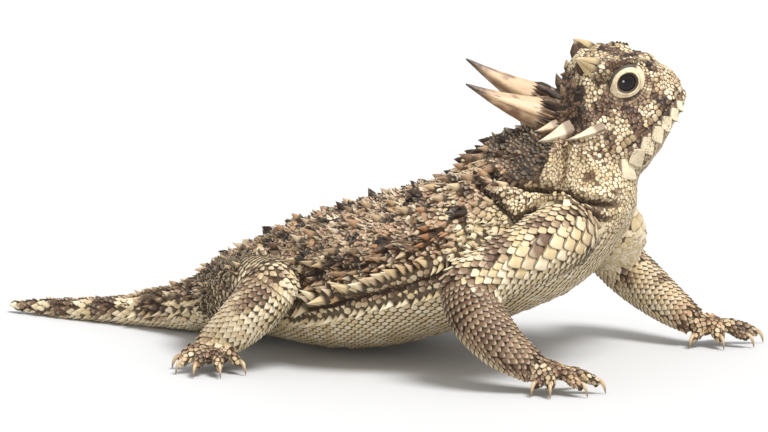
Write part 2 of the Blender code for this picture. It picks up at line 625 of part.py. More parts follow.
def main():
    for old in list(bpy.data.objects):
        bpy.data.objects.remove(old)
    rng = random.Random(SEED)
    trunk = Trunk()
    head = Head()
    left_leg = mirrored(RIGHT_THIGH)
    left_shank = mirrored(RIGHT_SHANK)
    limbs = (RIGHT_ARM, RIGHT_FOREARM, LEFT_ARM, LEFT_FOREARM, RIGHT_THIGH, RIGHT_SHANK, left_leg, left_shank)

    half = GAP / 2
    cream, back = (0.78, 0.70, 0.56), (0.55, 0.43, 0.31)
    tail_tip = core(trunk, 0.0, TAIL_SPLIT, 9, 14, "tail_tip", (0.0, half))
    paint(tail_tip, cream, 0.75)
    combine(tail_tip, [floor_block()], "DIFFERENCE")

    tail_base = core(trunk, TAIL_SPLIT, VENT_SPLIT, 8, 18, "tail_base", (half, half))
    paint(tail_base, cream, 0.75)
    combine(tail_base, trunk_spines(trunk, TAIL_SPLIT + 0.3, VENT_SPLIT - 0.1, 3.4,
                                    ((0.07, 1.6, 0.7), (0.17, 1.7, 0.8), (0.26, 2.2, 0.9)), limbs, rng), "UNION")
    combine(tail_base, [floor_block()], "DIFFERENCE")

    torso = core(trunk, VENT_SPLIT, NECK_SPLIT, 23, 28, "torso", (half, half))
    paint(torso, back, 0.8)
    spines = trunk_spines(trunk, VENT_SPLIT + 0.35, NECK_SPLIT - 0.5, 6.2,
                          ((0.035, 1.9, 1.0), (0.09, 2.5, 1.1), (0.145, 2.7, 1.1), (0.195, 2.3, 1.0)), limbs, rng)
    spines += fringe(trunk, VENT_SPLIT + 0.6, 12.6, 3.1, 0.238, 2.8, 1.1, limbs, rng)
    spines += fringe(trunk, VENT_SPLIT + 1.0, 12.4, 3.3, 0.300, 1.9, 0.95, limbs, rng)
    combine(torso, spines, "UNION")
    combine(torso, [floor_block(), cutter_of(head, rings=HEAD_RINGS, sides=HEAD_SIDES)] + jaw_spines(head, GAP), "DIFFERENCE")

    neck = core(trunk, NECK_SPLIT, NECK_END, 5, 24, "neck", (half, 0.0))
    paint(neck, (0.70, 0.60, 0.47), 0.8)
    combine(neck, neck_spines(trunk, head), "UNION")
    cuts = [cutter_of(head, rings=HEAD_RINGS, sides=HEAD_SIDES)] + jaw_spines(head, GAP)
    cuts += [cutter_of(horn_form(head, spec, side), rings=8, sides=8) for side in (1, -1) for spec in TEMPORAL_HORNS[:2]]
    combine(neck, cuts, "DIFFERENCE")
    build_head(trunk)

    skin = (0.80, 0.72, 0.57)
    build_limb("right", RIGHT_ARM, RIGHT_FOREARM, RIGHT_HAND, ("upper_arm", "forearm", "hand"), trunk, skin, (0.62, 0.9))
    build_limb("left", LEFT_ARM, LEFT_FOREARM, LEFT_HAND, ("upper_arm", "forearm", "hand"), trunk, skin, (0.38, 0.6))
    build_limb("right", RIGHT_THIGH, RIGHT_SHANK, RIGHT_FOOT, ("thigh", "shank", "foot"), trunk, skin, (0.95, 0.2))
    build_limb("left", left_leg, left_shank, LEFT_FOOT, ("thigh", "shank", "foot"), trunk, skin, (0.05, 0.8))


main()
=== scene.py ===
"""A life-size horned lizard, dressed over its solid frame: one skin, rows of solid scales, spines, horns, eyes, claws.

Lengths inside the forms are in millimetres, on the same tables as the solids. They become metres when a piece is made.
"""

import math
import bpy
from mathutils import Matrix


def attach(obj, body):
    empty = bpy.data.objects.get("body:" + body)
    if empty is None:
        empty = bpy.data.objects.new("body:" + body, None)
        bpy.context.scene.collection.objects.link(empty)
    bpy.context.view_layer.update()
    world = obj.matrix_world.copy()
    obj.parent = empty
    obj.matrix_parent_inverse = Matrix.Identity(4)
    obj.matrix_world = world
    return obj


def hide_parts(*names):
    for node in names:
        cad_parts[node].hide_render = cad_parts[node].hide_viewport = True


bl_info = {
    "name": "Horned Lizard",
    "version": (1, 0, 0),
    "blender": (4, 5, 0),
    "location": "View3D > Sidebar > Lizard",
    "description": "Builds the skin, scales, spines, horns and eyes of a horned lizard over its frame",
    "category": "Object",
}

from functools import cache

import bmesh
import bpy
import numpy as np
from bpy.props import FloatProperty, FloatVectorProperty, PointerProperty
from mathutils import Matrix, Vector, kdtree
from mathutils.bvhtree import BVHTree

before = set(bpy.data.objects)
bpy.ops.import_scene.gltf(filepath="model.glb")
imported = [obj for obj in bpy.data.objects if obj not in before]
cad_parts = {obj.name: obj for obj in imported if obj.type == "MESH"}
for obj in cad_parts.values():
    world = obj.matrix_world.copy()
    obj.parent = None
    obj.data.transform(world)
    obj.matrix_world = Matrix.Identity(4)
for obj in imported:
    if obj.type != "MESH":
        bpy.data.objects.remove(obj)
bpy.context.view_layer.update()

MM = 0.001
FRAME_SHIFT = np.array((4.0, -0.1, 0.0))
SKIN_DEPTH = 0.28              # how far the skin lies inside the solids, under its scales

# Trunk sections from the tail's tip to the head: centre x, y, z, yaw, pitch, half width, reach up, reach down
TRUNK = (
    (-67.0, 0.6, 1.3, 0, 0, 0.8, 0.7, 0.7),
    (-58.0, 0.2, 1.6, 0, 0, 1.8, 1.5, 1.6),
    (-49.0, 0.0, 2.1, 0, 2, 2.7, 1.9, 2.1),
    (-41.0, 0.0, 2.8, 0, 6, 3.8, 2.5, 2.8),
    (-34.5, 0.0, 3.7, 0, 10, 5.4, 3.2, 3.6),
    (-29.0, 0.0, 4.9, 0, 15, 7.6, 4.0, 4.7),
    (-22.0, 0.0, 7.4, 0, 18, 11.2, 5.9, 6.8),
    (-13.0, 0.0, 9.7, 0, 17, 16.2, 8.3, 9.6),
    (-4.0, 0.0, 11.6, 0, 15, 20.6, 10.1, 12.0),
    (5.0, 0.0, 13.3, 0, 15, 23.6, 11.2, 12.6),
    (13.5, 0.0, 15.6, 0, 18, 24.0, 11.6, 12.4),
    (22.0, 0.0, 18.2, 0, 23, 22.0, 11.8, 12.4),
    (28.8, 0.0, 20.9, 0, 36, 18.6, 14.0, 12.0),
    (33.4, 0.2, 24.1, 3, 47, 15.8, 14.4, 11.2),
    (36.2, 0.8, 27.8, 10, 58, 13.6, 14.2, 11.2),
    (37.2, 1.8, 31.3, 20, 66, 12.0, 12.4, 10.8),
    (37.3, 3.2, 34.8, 28, 70, 9.6, 8.6, 8.8),
)
TRUNK_FULLNESS = 0.88

# Head sections from the nape to the snout in the head's own frame:
# x, top, crown half width and height, cheek half width and height, jaw half width and height, bottom
HEAD = (
    (-2.6, 4.6, 3.4, 4.6, 5.4, 2.6, 4.8, -1.4, -4.0),
    (-0.6, 6.8, 5.4, 6.8, 8.6, 3.4, 8.0, -2.4, -6.0),
    (2.2, 7.9, 6.4, 8.0, 10.4, 4.0, 10.0, -2.8, -7.6),
    (5.4, 8.7, 6.8, 9.2, 10.4, 4.5, 10.6, -3.2, -8.9),
    (9.0, 10.1, 7.0, 11.5, 9.4, 5.2, 10.3, -3.3, -9.6),
    (13.0, 9.8, 6.6, 10.8, 7.9, 5.5, 9.2, -2.9, -7.6),
    (16.2, 8.3, 5.3, 8.8, 6.6, 4.3, 7.4, -2.4, -5.4),
    (18.6, 6.7, 3.9, 6.8, 5.4, 2.6, 5.5, -1.9, -3.8),
    (20.2, 4.9, 2.7, 4.7, 3.9, 1.4, 3.8, -1.4, -2.8),
    (21.3, 2.8, 1.5, 2.5, 2.0, 0.6, 1.9, -0.9, -1.8),
)
HEAD_ORIGIN = Vector((34.0, 3.0, 33.0))
HEAD_YAW, HEAD_PITCH, HEAD_ROLL = 28, 30, 5

EYE = (13.9, 5.1, 6.5)
EYE_RADIUS = 2.9
EYE_OPENING = (0.51, 0.455)      # half length and half height of the gap between the lids, on a ball of radius 1
LID_REACH = (0.86, 0.69)         # the same of the lids' outer edge
# The balls under the lids, from the eye's centre on the left side: forward, out, up and radius
LID_BALLS = ((0.0, 0.0, 0.0, 3.55), (-1.6, 0.6, 1.9, 2.9))
MOUTH_CORNER_X = 8.6
MOUTH_FRONT_Z, MOUTH_CORNER_Z = 0.1, -1.9
# Hollows of the head in its own frame, left side: place and radii, and for the nostrils also the reach of their painted
# shade
NOSTRIL, NOSTRIL_RADII, NOSTRIL_SHADE_RADII = (19.5, 1.7, 5.4), (1.05, 0.75, 0.95), (0.85, 0.6, 0.9)
EAR, EAR_RADII = (1.4, 9.4, 1.4), (1.5, 1.6, 1.9)
TEMPLE, TEMPLE_RADII = (3.4, 9.2, 7.0), (1.9, 2.4, 2.0)

OCCIPITAL_HORNS = {1: ((0.9, 5.0, 8.0), (-6.2, 7.2, 19.5), 2.3), -1: ((0.9, 5.2, 7.8), (-7.5, 7.3, 18.9), 2.3)}
# Base, tip, radius, how much wider than tall, and how white
SIDE_HORNS = (
    ((0.9, 8.5, 6.4), (-2.0, 9.9, 7.6), 0.85, 0.8, 0.25),
    ((2.2, 9.9, 5.0), (-2.1, 12.6, 6.5), 1.35, 0.55, 1.0),
    ((6.4, 10.5, 3.1), (1.7, 12.5, 4.5), 0.75, 1.35, 1.0),
)
# The brow's pointed plate: its tip at each side, and the feet of its ribs with their tone
BROW_TIPS = {1: (10.1, 8.0, 13.6), -1: (9.1, 8.2, 14.1)}
BROW_RIBS = ((12.0, 6.9, 10.6, 0.8), (10.9, 7.5, 10.5, 0.25), (9.9, 8.1, 10.0, 0.7))
# Raised scales over the eye: x, y, z and rise
BROW_SCALES = ((15.0, 5.9, 9.9, 0.2), (12.8, 6.6, 10.6, 0.2), (16.8, 4.9, 8.6, 0.15))
# Small spines of crown and temple: x, y, z and length
CROWN_SPINES = (
    (6.8, 4.6, 9.0, 1.7), (4.0, 7.4, 6.8, 2.0), (7.6, 8.2, 8.6, 1.2), (6.4, 8.7, 7.4, 1.1), (5.6, 2.2, 9.2, 0.9),
    (2.4, 2.4, 7.8, 1.9), (1.2, 3.2, 6.8, 1.7), (0.4, 7.0, 6.0, 1.5), (2.6, 8.4, 5.9, 1.3),
)

# Limbs: points x, y, z and radius from inside the trunk to the elbow or knee, and from there to the wrist or ankle
RIGHT_ARM = ((38.0, -5.0, 23.0, 4.6), (40.5, -12.5, 22.4, 5.2), (35.5, -19.5, 18.8, 4.8), (29.6, -24.0, 15.2, 4.2))
RIGHT_FOREARM = ((29.6, -24.0, 15.2, 4.2), (32.0, -25.4, 11.2, 4.3), (36.2, -25.8, 7.2, 3.7), (40.4, -25.0, 4.3, 2.7))
LEFT_ARM = ((34.5, 7.0, 21.5, 4.6), (37.4, 13.0, 20.4, 5.0), (36.0, 20.5, 17.2, 4.7), (32.6, 26.0, 13.6, 4.1))
LEFT_FOREARM = ((32.6, 26.0, 13.6, 4.1), (36.8, 25.8, 10.3, 4.1), (42.6, 24.0, 7.0, 3.5), (47.6, 22.6, 4.6, 2.6))
RIGHT_THIGH = ((-21.0, -5.0, 7.8, 4.4), (-18.0, -12.5, 9.2, 5.2), (-10.0, -20.0, 12.2, 5.0), (-2.6, -26.0, 13.6, 4.1))
RIGHT_SHANK = ((-2.6, -26.0, 13.6, 4.1), (-4.6, -27.6, 10.4, 4.2), (-8.6, -28.4, 6.4, 3.6), (-12.0, -28.6, 3.9, 2.8))
LEFT_THIGH = tuple((x, -y, z, r) for x, y, z, r in RIGHT_THIGH)
LEFT_SHANK = tuple((x, -y, z, r) for x, y, z, r in RIGHT_SHANK)

# Hands and feet: palm centre x, y, z, its radii, and the place on the floor of each claw's tip
RIGHT_HAND = ((43.4, -24.4, 3.5), (3.7, 2.9, 1.9),
              ((42.6, -28.8), (45.8, -28.9), (50.4, -25.4), (51.6, -21.2), (46.2, -18.8)))
LEFT_HAND = ((50.8, 23.6, 3.5), (3.7, 3.0, 1.9), ((49.6, 18.8), (55.0, 20.2), (58.6, 24.4), (58.4, 29.2), (51.6, 29.4)))
RIGHT_FOOT = ((-11.4, -30.0, 2.9), (4.3, 3.4, 2.1),
              ((-17.2, -32.6), (-14.4, -36.4), (-10.4, -38.0), (-6.4, -36.6), (-4.2, -32.4)))
LEFT_FOOT = ((-11.4, 30.0, 2.9), (4.3, 3.4, 2.1),
             ((-17.6, 33.4), (-14.2, 36.9), (-9.9, 38.2), (-6.3, 36.4), (-4.6, 33.0)))
CLAW_LENGTH = 3.2

# Folds in the skin as section number and turn on the trunk's right side, with their depth and half width
FOLDS = (
    (((13.2, 0.87), (13.37, 0.834), (13.76, 0.792), (14.15, 0.764), (14.37, 0.732), (14.46, 0.684), (14.66, 0.63),
      (14.8, 0.56)), 1.7, 0.7),
    (((12.95, 0.74), (13.06, 0.75), (13.40, 0.756), (13.69, 0.746), (13.92, 0.730), (14.08, 0.714), (14.21, 0.696),
      (14.2, 0.65), (14.25, 0.58)), 1.1, 0.6),
    (((12.7, 0.87), (12.88, 0.834), (13.02, 0.78), (12.98, 0.75), (12.64, 0.744), (12.26, 0.728), (11.7, 0.722)), 1.0,
     0.65),
    (((13.75, 0.65), (13.85, 0.58), (13.9, 0.5)), 0.4, 0.45),
    (((14.95, 0.66), (15.1, 0.60), (15.15, 0.52)), 0.5, 0.4),
    (((11.5, 0.738), (10.9, 0.725), (10.3, 0.722), (9.6, 0.72), (8.8, 0.715), (8.1, 0.706)), 0.75, 0.55),
    (((11.1, 0.80), (10.5, 0.795), (9.9, 0.775), (9.2, 0.782), (8.5, 0.77)), 0.5, 0.55),
)
RIDGES = (
    (((15.6, 0.795), (15.06, 0.775), (14.55, 0.760)), -1.2, 0.85),
    (((15.75, 0.775), (15.35, 0.752), (14.85, 0.73)), -0.55, 0.8),
    (((15.8, 0.822), (15.1, 0.80), (14.5, 0.782)), 1.9, 0.8),
    (((15.91, 0.788), (15.26, 0.766), (14.5, 0.742)), 2.1, 0.75),
    (((15.91, 0.766), (15.48, 0.736), (15.1, 0.712)), 1.1, 0.7),
    (((13.45, 0.80), (13.85, 0.772), (14.12, 0.745), (14.24, 0.70), (14.38, 0.63)), 1.2, 0.7),
    (((13.15, 0.80), (13.2, 0.77), (13.0, 0.765)), 0.8, 0.9),
    (((11.4, 0.752), (10.9, 0.744), (10.3, 0.744), (9.6, 0.738), (8.9, 0.734), (8.1, 0.722)), 0.7, 0.8),
    (((11.0, 0.695), (10.3, 0.698), (9.4, 0.698), (8.7, 0.692), (8.0, 0.682)), 0.45, 0.8),
)

# The edge between back and belly: section number and turn from the top
BACK_EDGE = (
    (0, 0.02), (3.0, 0.05), (4.0, 0.12), (5.0, 0.20), (6.2, 0.25), (11.0, 0.25), (11.7, 0.215), (12.6, 0.195),
    (13.8, 0.185), (15.0, 0.185), (16, 0.20),
)

# Dark blotches as section number, turn from the top, length along and reach across, in mm
BLOTCHES = (
    (10.66, 0.098, 2.1, 1.5), (11.96, 0.19, 1.7, 1.0), (10.3, 0.19, 1.2, 1.1), (9.02, 0.088, 1.3, 1.2),
    (8.51, 0.19, 1.4, 1.0),
    (7.49, 0.112, 1.3, 1.3), (6.3, 0.15, 1.2, 1.4), (11.22, 0.20, 1.0, 0.9), (9.2, 0.204, 1.1, 0.8),
    (12.6, 0.07, 1.6, 1.5), (7.9, 0.04, 0.9, 1.1),
)

# Dark bands of the tail as section number and half width in sections
TAIL_BANDS = ((0.5, 0.13), (1.2, 0.24), (2.2, 0.3), (3.75, 0.55))

# Ridges of the head in its own frame, left side: line, rise and half width
HEAD_RIDGES = (
    (((9.9, 7.0, 10.4), (8.2, 8.4, 9.2), (6.9, 9.0, 7.8), (6.1, 9.3, 6.4), (6.6, 9.8, 4.8)), 0.75, 0.8),
    (((10.2, 6.9, 10.7), (12.8, 7.4, 10.0), (15.4, 6.6, 9.3), (17.6, 4.8, 7.8), (19.4, 3.0, 6.2)), 0.42, 0.8),
    (((18.6, 5.9, -1.8), (16.8, 7.3, -2.3), (14.9, 8.4, -3.0), (12.4, 9.2, -3.9), (9.9, 9.6, -4.5), (7.0, 9.7, -5.2)),
     0.45, 0.9),
    (((5.0, 10.4, 3.6), (7.4, 10.4, 3.2), (9.6, 9.7, 3.4)), 0.4, 0.9),
)

# Dark bands of the head in its own frame, right side: line, half width, brown and black amounts
HEAD_BANDS = (
    (((14, -4.4, 10.4), (15.1, -3.5, 9.6), (16, -1.9, 8.7), (16.6, -0.4, 8.1)), 1.25, 0.5, 0.95),
    (((17.4, -1.6, 8.0), (18.1, -3.0, 7.5), (18.9, -4.1, 6.1)), 1.1, 0.5, 0.9),
    (((13, -7.3, 9.9), (14.4, -6.7, 9.5), (15.9, -6, 8.3), (17, -5.7, 6.9), (17.4, -5.8, 5.5)), 0.95, 0.75, 0.3),
    (((11, -8.4, 6.9), (11.2, -8.5, 6), (11.9, -8.5, 4.8), (13.3, -8.2, 3.9)), 0.8, 1.0, 0.8),
    (((13.3, -8.2, 3.9), (14.7, -7.6, 3.7), (15.9, -6.8, 4.1)), 0.55, 0.75, 0.35),
    (((11.1, -8.6, 5.6), (9.9, -9.1, 5.6), (8.4, -9.5, 5.6), (6.8, -9.9, 5.3), (5.1, -10.3, 4.9), (4.1, -10.5, 4.5)),
     1.1, 1.0, 0.6),
    (((12.3, -8.6, 3.9), (12.7, -9, 2.3), (12.5, -9.5, 0.8), (12.3, -9.9, -0.8), (12, -9.8, -2.5), (11.4, -8.9, -4.2)),
     1.2, 1.0, 0.55),
    (((17, -6.6, 2.3), (17.5, -6.5, 1.2), (18, -6.4, 0.1), (17, -7.2, -0.6)), 0.95, 0.6, 0.8),
    (((7.8, -10.8, 1.6), (7.7, -11.1, 0.3), (7.3, -11.3, -0.5)), 0.65, 1.0, 0.35),
    (((3.4, -11.4, 0.7), (3.9, -11.4, -0.8), (4.7, -11.2, -2.1)), 0.7, 1.0, 0.35),
    (((5.6, -11.4, 0.2), (5.9, -11.4, -1.1)), 0.5, 0.9, 0.2),
    (((11.1, -9.9, -3.1), (12, -9.4, -3.3), (13.1, -8.8, -3.4)), 0.6, 1.0, 0.5),
    (((3.8, -4.9, 8.8), (3.8, -8.1, 7.7), (4.2, -9.5, 6.4), (4.4, -10.2, 5.0)), 1.7, 1.0, 0.95),
    (((5.6, -7.1, 9.2), (6.7, -7.7, 9.6)), 0.8, 0.8, 0.6),
    (((2.2, -9.5, 4.8), (1.8, -10.2, 2.4)), 1.5, 1.0, 0.7),
    (((6, -3.6, 9.6), (8.4, -2.6, 10.6), (10.4, -2.2, 11)), 0.9, 0.45, 0.6),
    (((3.6, 0, 8.6), (7.4, 0, 10.2)), 0.8, 0.6, 0.5),
    (((12.4, 0, 10.6), (13.4, -1.4, 10.2)), 0.7, 0.3, 0.6),
)

# Patches of the neck on the trunk form, right side: section, turn from the top, reach, dark amount
NECK_PATCHES = (
    (15.35, 0.166, 1.6, 1.0), (14.8, 0.19, 1.8, 0.95), (14.38, 0.202, 1.5, 0.9), (15.72, 0.142, 1.6, 1.0),
    (14.77, 0.16, 1.7, 0.8),
    (15.07, 0.227, 0.95, 0.6), (14.75, 0.237, 1.0, 0.6), (15.4, 0.214, 0.8, 0.6), (15.25, 0.25, 0.6, 0.4),
    (13.99, 0.19, 1.7, 0.85), (14.59, 0.178, 1.9, 0.9), (14.09, 0.17, 1.6, 0.85), (15.05, 0.188, 1.5, 0.9),
    (15.13, 0.274, 1.0, 0.85), (14.92, 0.268, 0.8, 0.7),
)

# The two fringes of the flank: section number and turn from the top, then length, half width and spacing of its scales
FRINGES = (
    (((5.7, 0.262), (8.2, 0.274), (9.0, 0.264), (10.0, 0.256), (10.9, 0.254), (11.4, 0.262), (12.5, 0.25)), 2.8, 0.95,
     1.2),
    (((5.9, 0.30), (8.0, 0.316), (8.8, 0.306), (10.0, 0.302), (11.0, 0.31), (11.6, 0.32)), 2.0, 0.8, 1.25),
)
# Spines in rows over the back: turn from the top, length, base radius
BACK_COLUMNS = ((0.035, 1.9, 1.0), (0.09, 2.5, 1.1), (0.145, 2.7, 1.1), (0.195, 2.3, 1.0))
TAIL_COLUMNS = ((0.07, 1.6, 0.75), (0.17, 1.7, 0.8), (0.26, 2.2, 0.9))
NECK_SPINES = ((14.8, 0.06, 1.6), (14.2, 0.11, 1.7))
# Pointed shields along the lower jaw: x, height and size
JAW_SHIELDS = ((19.5, -1.3, 1.4), (18.1, -1.6, 1.7), (16.4, -2.0, 2.0), (14.5, -2.6, 2.2), (12.4, -3.3, 2.4),
               (10.1, -4.0, 2.6), (7.5, -4.7, 3.1))

# The large scales of each limb as shares of the upper arm's, in the order of the limbs
LIMB_SCALES = (1.0, 0.52, 1.0, 0.52, 0.66, 0.54, 0.66, 0.54)
# Rows of scales round the right upper arm: from turn, to turn, share of the arm's scale, first and last section
ARM_ROWS = (
    (0.15, 0.29, 1.06, 0.5, 2.15), (0.15, 0.29, 0.66, 2.15, 3.0), (0.29, 0.46, 0.62, 0.5, 3.0),
    (-0.12, 0.15, 0.68, 0.5, 3.0), (-0.54, -0.12, 0.52, 0.5, 3.0),
)
LIP_SCALE = 0.9
DIRECTIONS = 12                  # the directions in which a scale's outline is known

# Kinds of scales, and for each: how much of its cell it fills, its thickness, and its edge's height as a share of that
GRAIN, SQUARE, LEAF, PLATE, BARB, SHIELD = range(6)
FILL = np.array((0.97, 0.91, 0.98, 0.98, 0.98, 0.98))
THICKNESS = np.array((0.13, 0.12, 0.14, 0.15, 0.26, 0.20))
EDGE_HEIGHT = np.array((0.35, 0.60, 0.45, 0.42, 0.35, 0.35))

FLOOR_GAP = 0.12                 # what comes closer to the floor is pressed flat against it
MOST_TRIANGLES = 198000          # for a piece of scales or spines


def turn(axis, degrees):
    return np.array(Matrix.Rotation(math.radians(degrees), 3, axis))


HEAD_TURN = turn("Z", HEAD_YAW) @ turn("X", HEAD_ROLL) @ turn("Y", -HEAD_PITCH)
HEAD_PLACE = np.array(HEAD_ORIGIN)


def from_head(points):
    """Places in the head's own frame, carried to the body's frame."""
    return np.asarray(points, float) @ HEAD_TURN.T + HEAD_PLACE


def to_head(points):
    return (np.asarray(points, float) - HEAD_PLACE) @ HEAD_TURN


def shares_from(local, place, radii, side=1):
    """How far points in the head's frame lie from a place on one side of it, in shares of the radii."""
    return np.linalg.norm((local - np.array(place) * (1, side, 1)) / radii, axis=1)


def unit(vectors):
    return vectors / np.maximum(np.linalg.norm(vectors, axis=-1, keepdims=True), 1e-9)


def ramp(value, low, high):
    """A smooth step from 0 at low to 1 at high."""
    f = np.clip((np.asarray(value, float) - low) / (high - low), 0, 1)
    return f * f * (3 - 2 * f)


def bell(value, width=1.0):
    """1 where the value is 0, falling away over the width to both sides."""
    return np.exp(-((value / width) ** 2))


def off_top(v):
    """How far from its form's top a turn lies, to either side: 0 at the top, 0.5 below."""
    return abs((v + 0.5) % 1.0 - 0.5)


def in_plane(lie, normal):
    """The lie of scales or spines, drawn into the plane of the skin."""
    return unit(lie - normal * (lie * normal).sum(-1, keepdims=True) + 1e-6)


def run_along(places):
    """How far it is along a row of places to each of them."""
    return np.concatenate([[0], np.cumsum(np.linalg.norm(np.diff(places, axis=0), axis=1))])


def tree_of(spots):
    """A tree that finds the nearest of many spots."""
    tree = kdtree.KDTree(len(spots))
    for i, spot in enumerate(spots):
        tree.insert(spot, i)
    tree.balance()
    return tree


def smooth_between(a, b, c, d, f):
    """A smooth curve from b to c at share f, with a before them and d after."""
    return 0.5 * (2 * b + (c - a) * f + (2 * a - 5 * b + 4 * c - d) * f**2 + (3 * b - a - 3 * c + d) * f**3)


def smooth_rows(rows, t):
    """A smooth curve through rows of numbers, at section numbers t."""
    rows = np.asarray(rows, float)
    last = len(rows) - 1
    t = np.clip(np.asarray(t, float), 0, last)
    i = np.minimum(t.astype(int), last - 1)
    f = (t - i)[..., None]
    return smooth_between(*(rows[np.clip(i + k, 0, last)] for k in (-1, 0, 1, 2)), f)


def drift(points, reach, seed, waves=9):
    """A soft random field over space, about -1 to 1, that changes over the given reach."""
    rng = np.random.default_rng(seed)
    total = 0
    for _ in range(waves):
        wave = unit(rng.normal(size=3)) * rng.uniform(0.6, 1.5) * math.tau / (reach * 2.4)
        total = total + np.sin(points @ wave + rng.uniform(0, math.tau))
    return total / math.sqrt(waves) * 0.9


class Trunk:
    """Tail, body and neck in one form."""
    last = len(TRUNK) - 1

    def point(self, t, v):
        t, v = np.broadcast_arrays(np.asarray(t, float), np.asarray(v, float))
        x, y, z, yaw, pitch, wide, top, low = np.moveaxis(smooth_rows(TRUNK, t), -1, 0)
        yaw, pitch = np.radians(yaw), np.radians(pitch)
        ahead = np.stack([np.cos(yaw) * np.cos(pitch), np.sin(yaw) * np.cos(pitch), np.sin(pitch)], -1)
        side = np.stack([-np.sin(yaw), np.cos(yaw), 0 * yaw], -1)
        up = np.cross(ahead, side)
        s, c = np.sin(math.tau * v), np.cos(math.tau * v)
        s, c = np.sign(s) * abs(s) ** TRUNK_FULLNESS, np.sign(c) * abs(c) ** TRUNK_FULLNESS
        return np.stack([x, y, z], -1) + side * (s * wide)[..., None] + up * (c * np.where(c > 0, top, low))[..., None]


class Head:
    """The head, with eight corners in each section. Turn 0 is its crown."""
    last = len(HEAD) - 1

    def local(self, t, v):
        t, v = np.broadcast_arrays(np.asarray(t, float), np.asarray(v, float))
        x, top, crown, crown_z, cheek, cheek_z, jaw, jaw_z, low = np.moveaxis(smooth_rows(HEAD, t), -1, 0)
        ys = np.stack([0 * x, crown, cheek, jaw, 0 * x, -jaw, -cheek, -crown], -1)
        zs = np.stack([top, crown_z, cheek_z, jaw_z, low, jaw_z, cheek_z, crown_z], -1)
        place = (v % 1.0) * 8
        i = np.minimum(place.astype(int), 7)
        f = place - i

        def pick(values):
            corners = (np.take_along_axis(values, ((i + k) % 8)[..., None], -1)[..., 0] for k in (-1, 0, 1, 2))
            return smooth_between(*corners, f)

        return np.stack([x, pick(ys), pick(zs)], -1)

    def point(self, t, v):
        return from_head(self.local(t, v))


class Limb:
    """A tube along points of x, y, z and radius. Turn 0 is its upper side."""

    def __init__(self, points):
        self.points = points
        self.last = len(points) - 1

    def axes(self, t):
        rows = smooth_rows(self.points, t)
        ahead = unit(smooth_rows(self.points, np.clip(t + 0.02, 0, self.last))[..., :3]
                     - smooth_rows(self.points, np.clip(t - 0.02, 0, self.last))[..., :3])
        side = unit(np.cross((0, 0, 1.0), ahead))
        return rows[..., :3], rows[..., 3], ahead, side, np.cross(ahead, side)

    def point(self, t, v):
        t, v = np.broadcast_arrays(np.asarray(t, float), np.asarray(v, float))
        centre, radius, _, side, up = self.axes(t)
        return centre + radius[...,
                               None] * (side * np.sin(math.tau * v)[..., None] + up * np.cos(math.tau * v)[..., None])


class Palm:
    """A low round cushion of a hand or foot."""
    last = 1

    def __init__(self, centre, radii):
        self.centre, self.radii = np.array(centre), np.array(radii)

    def point(self, t, v):
        t, v = np.broadcast_arrays(np.asarray(t, float), np.asarray(v, float))
        across = np.sin(math.pi * t)
        return self.centre + self.radii * np.stack([np.cos(math.pi * t), across * np.sin(math.tau * v),
                                                    across * np.cos(math.tau * v)], -1)


def digits(spec):
    """For each digit of a hand or foot: its toe's points, its claw's points and the way it points."""
    centre, radii, tips = spec
    centre = np.array(centre)
    for i, tip in enumerate(tips):
        away = unit(np.array((tip[0] - centre[0], tip[1] - centre[1], 0.0)))
        start = centre + np.array((away[0] * radii[0] * 0.4, away[1] * radii[1] * 0.4, -0.1))
        flat = np.array((tip[0] - start[0], tip[1] - start[1], 0.0))
        length = np.linalg.norm(flat)
        out = flat / length
        joint = start + out * (length - CLAW_LENGTH * 0.72)
        thick = 1.24 - 0.03 * i
        middle, end = (start + joint) / 2, joint + out * 1.0
        toe = ((*start, thick), (middle[0], middle[1], 3.3, thick * 0.92), (joint[0], joint[1], 2.35, thick * 0.8),
               (end[0], end[1], 1.75, thick * 0.55))
        curve = ((0.3, 1.95, 0.44), (1.1, 2.1, 0.42), (1.75, 1.8, 0.34), (2.12, 1.05, 0.22))
        claw = (*((*(joint + out * reach)[:2], z, r) for reach, z, r in curve), (tip[0], tip[1], 0.12, 0.05))
        yield toe, claw, out


HANDS = (RIGHT_HAND, LEFT_HAND, RIGHT_FOOT, LEFT_FOOT)
TRUNK_FORM, HEAD_FORM = Trunk(), Head()
LIMBS = [Limb(p) for p in (RIGHT_ARM, RIGHT_FOREARM, LEFT_ARM, LEFT_FOREARM, RIGHT_THIGH, RIGHT_SHANK, LEFT_THIGH,
                           LEFT_SHANK)]
PALMS = [Palm(spec[0], np.array(spec[1]) * (0.80, 0.84, 0.92)) for spec in HANDS]
TOES = [Limb(toe) for spec in HANDS for toe, _, _ in digits(spec)]
FORMS = [TRUNK_FORM, HEAD_FORM, *LIMBS, *PALMS, *TOES]
IS_TRUNK, IS_HEAD, FIRST_LIMB, FIRST_PALM, FIRST_TOE = 0, 1, 2, 10, 14


# Each form's field in the unit square for baking: left, base, width and height
FIELDS = np.array([(0.005, 0.005, 0.49, 0.99), (0.505, 0.005, 0.49, 0.49)] + [
    (0.505 + 0.0615 * (k % 8), 0.505 + 0.12 * (k // 8), 0.055, 0.112) for k in range(len(FORMS) - FIRST_LIMB)
])


def unwrap(form, t, v):
    """A place in the unit square for a point of a form, each form in a field of its own."""
    left, base, wide, high = FIELDS[form].T
    last = np.array([f.last for f in FORMS])[form]
    return np.stack([left + wide * np.clip(t / last, 0, 1), base + high * np.clip(v, 0, 1)], -1)


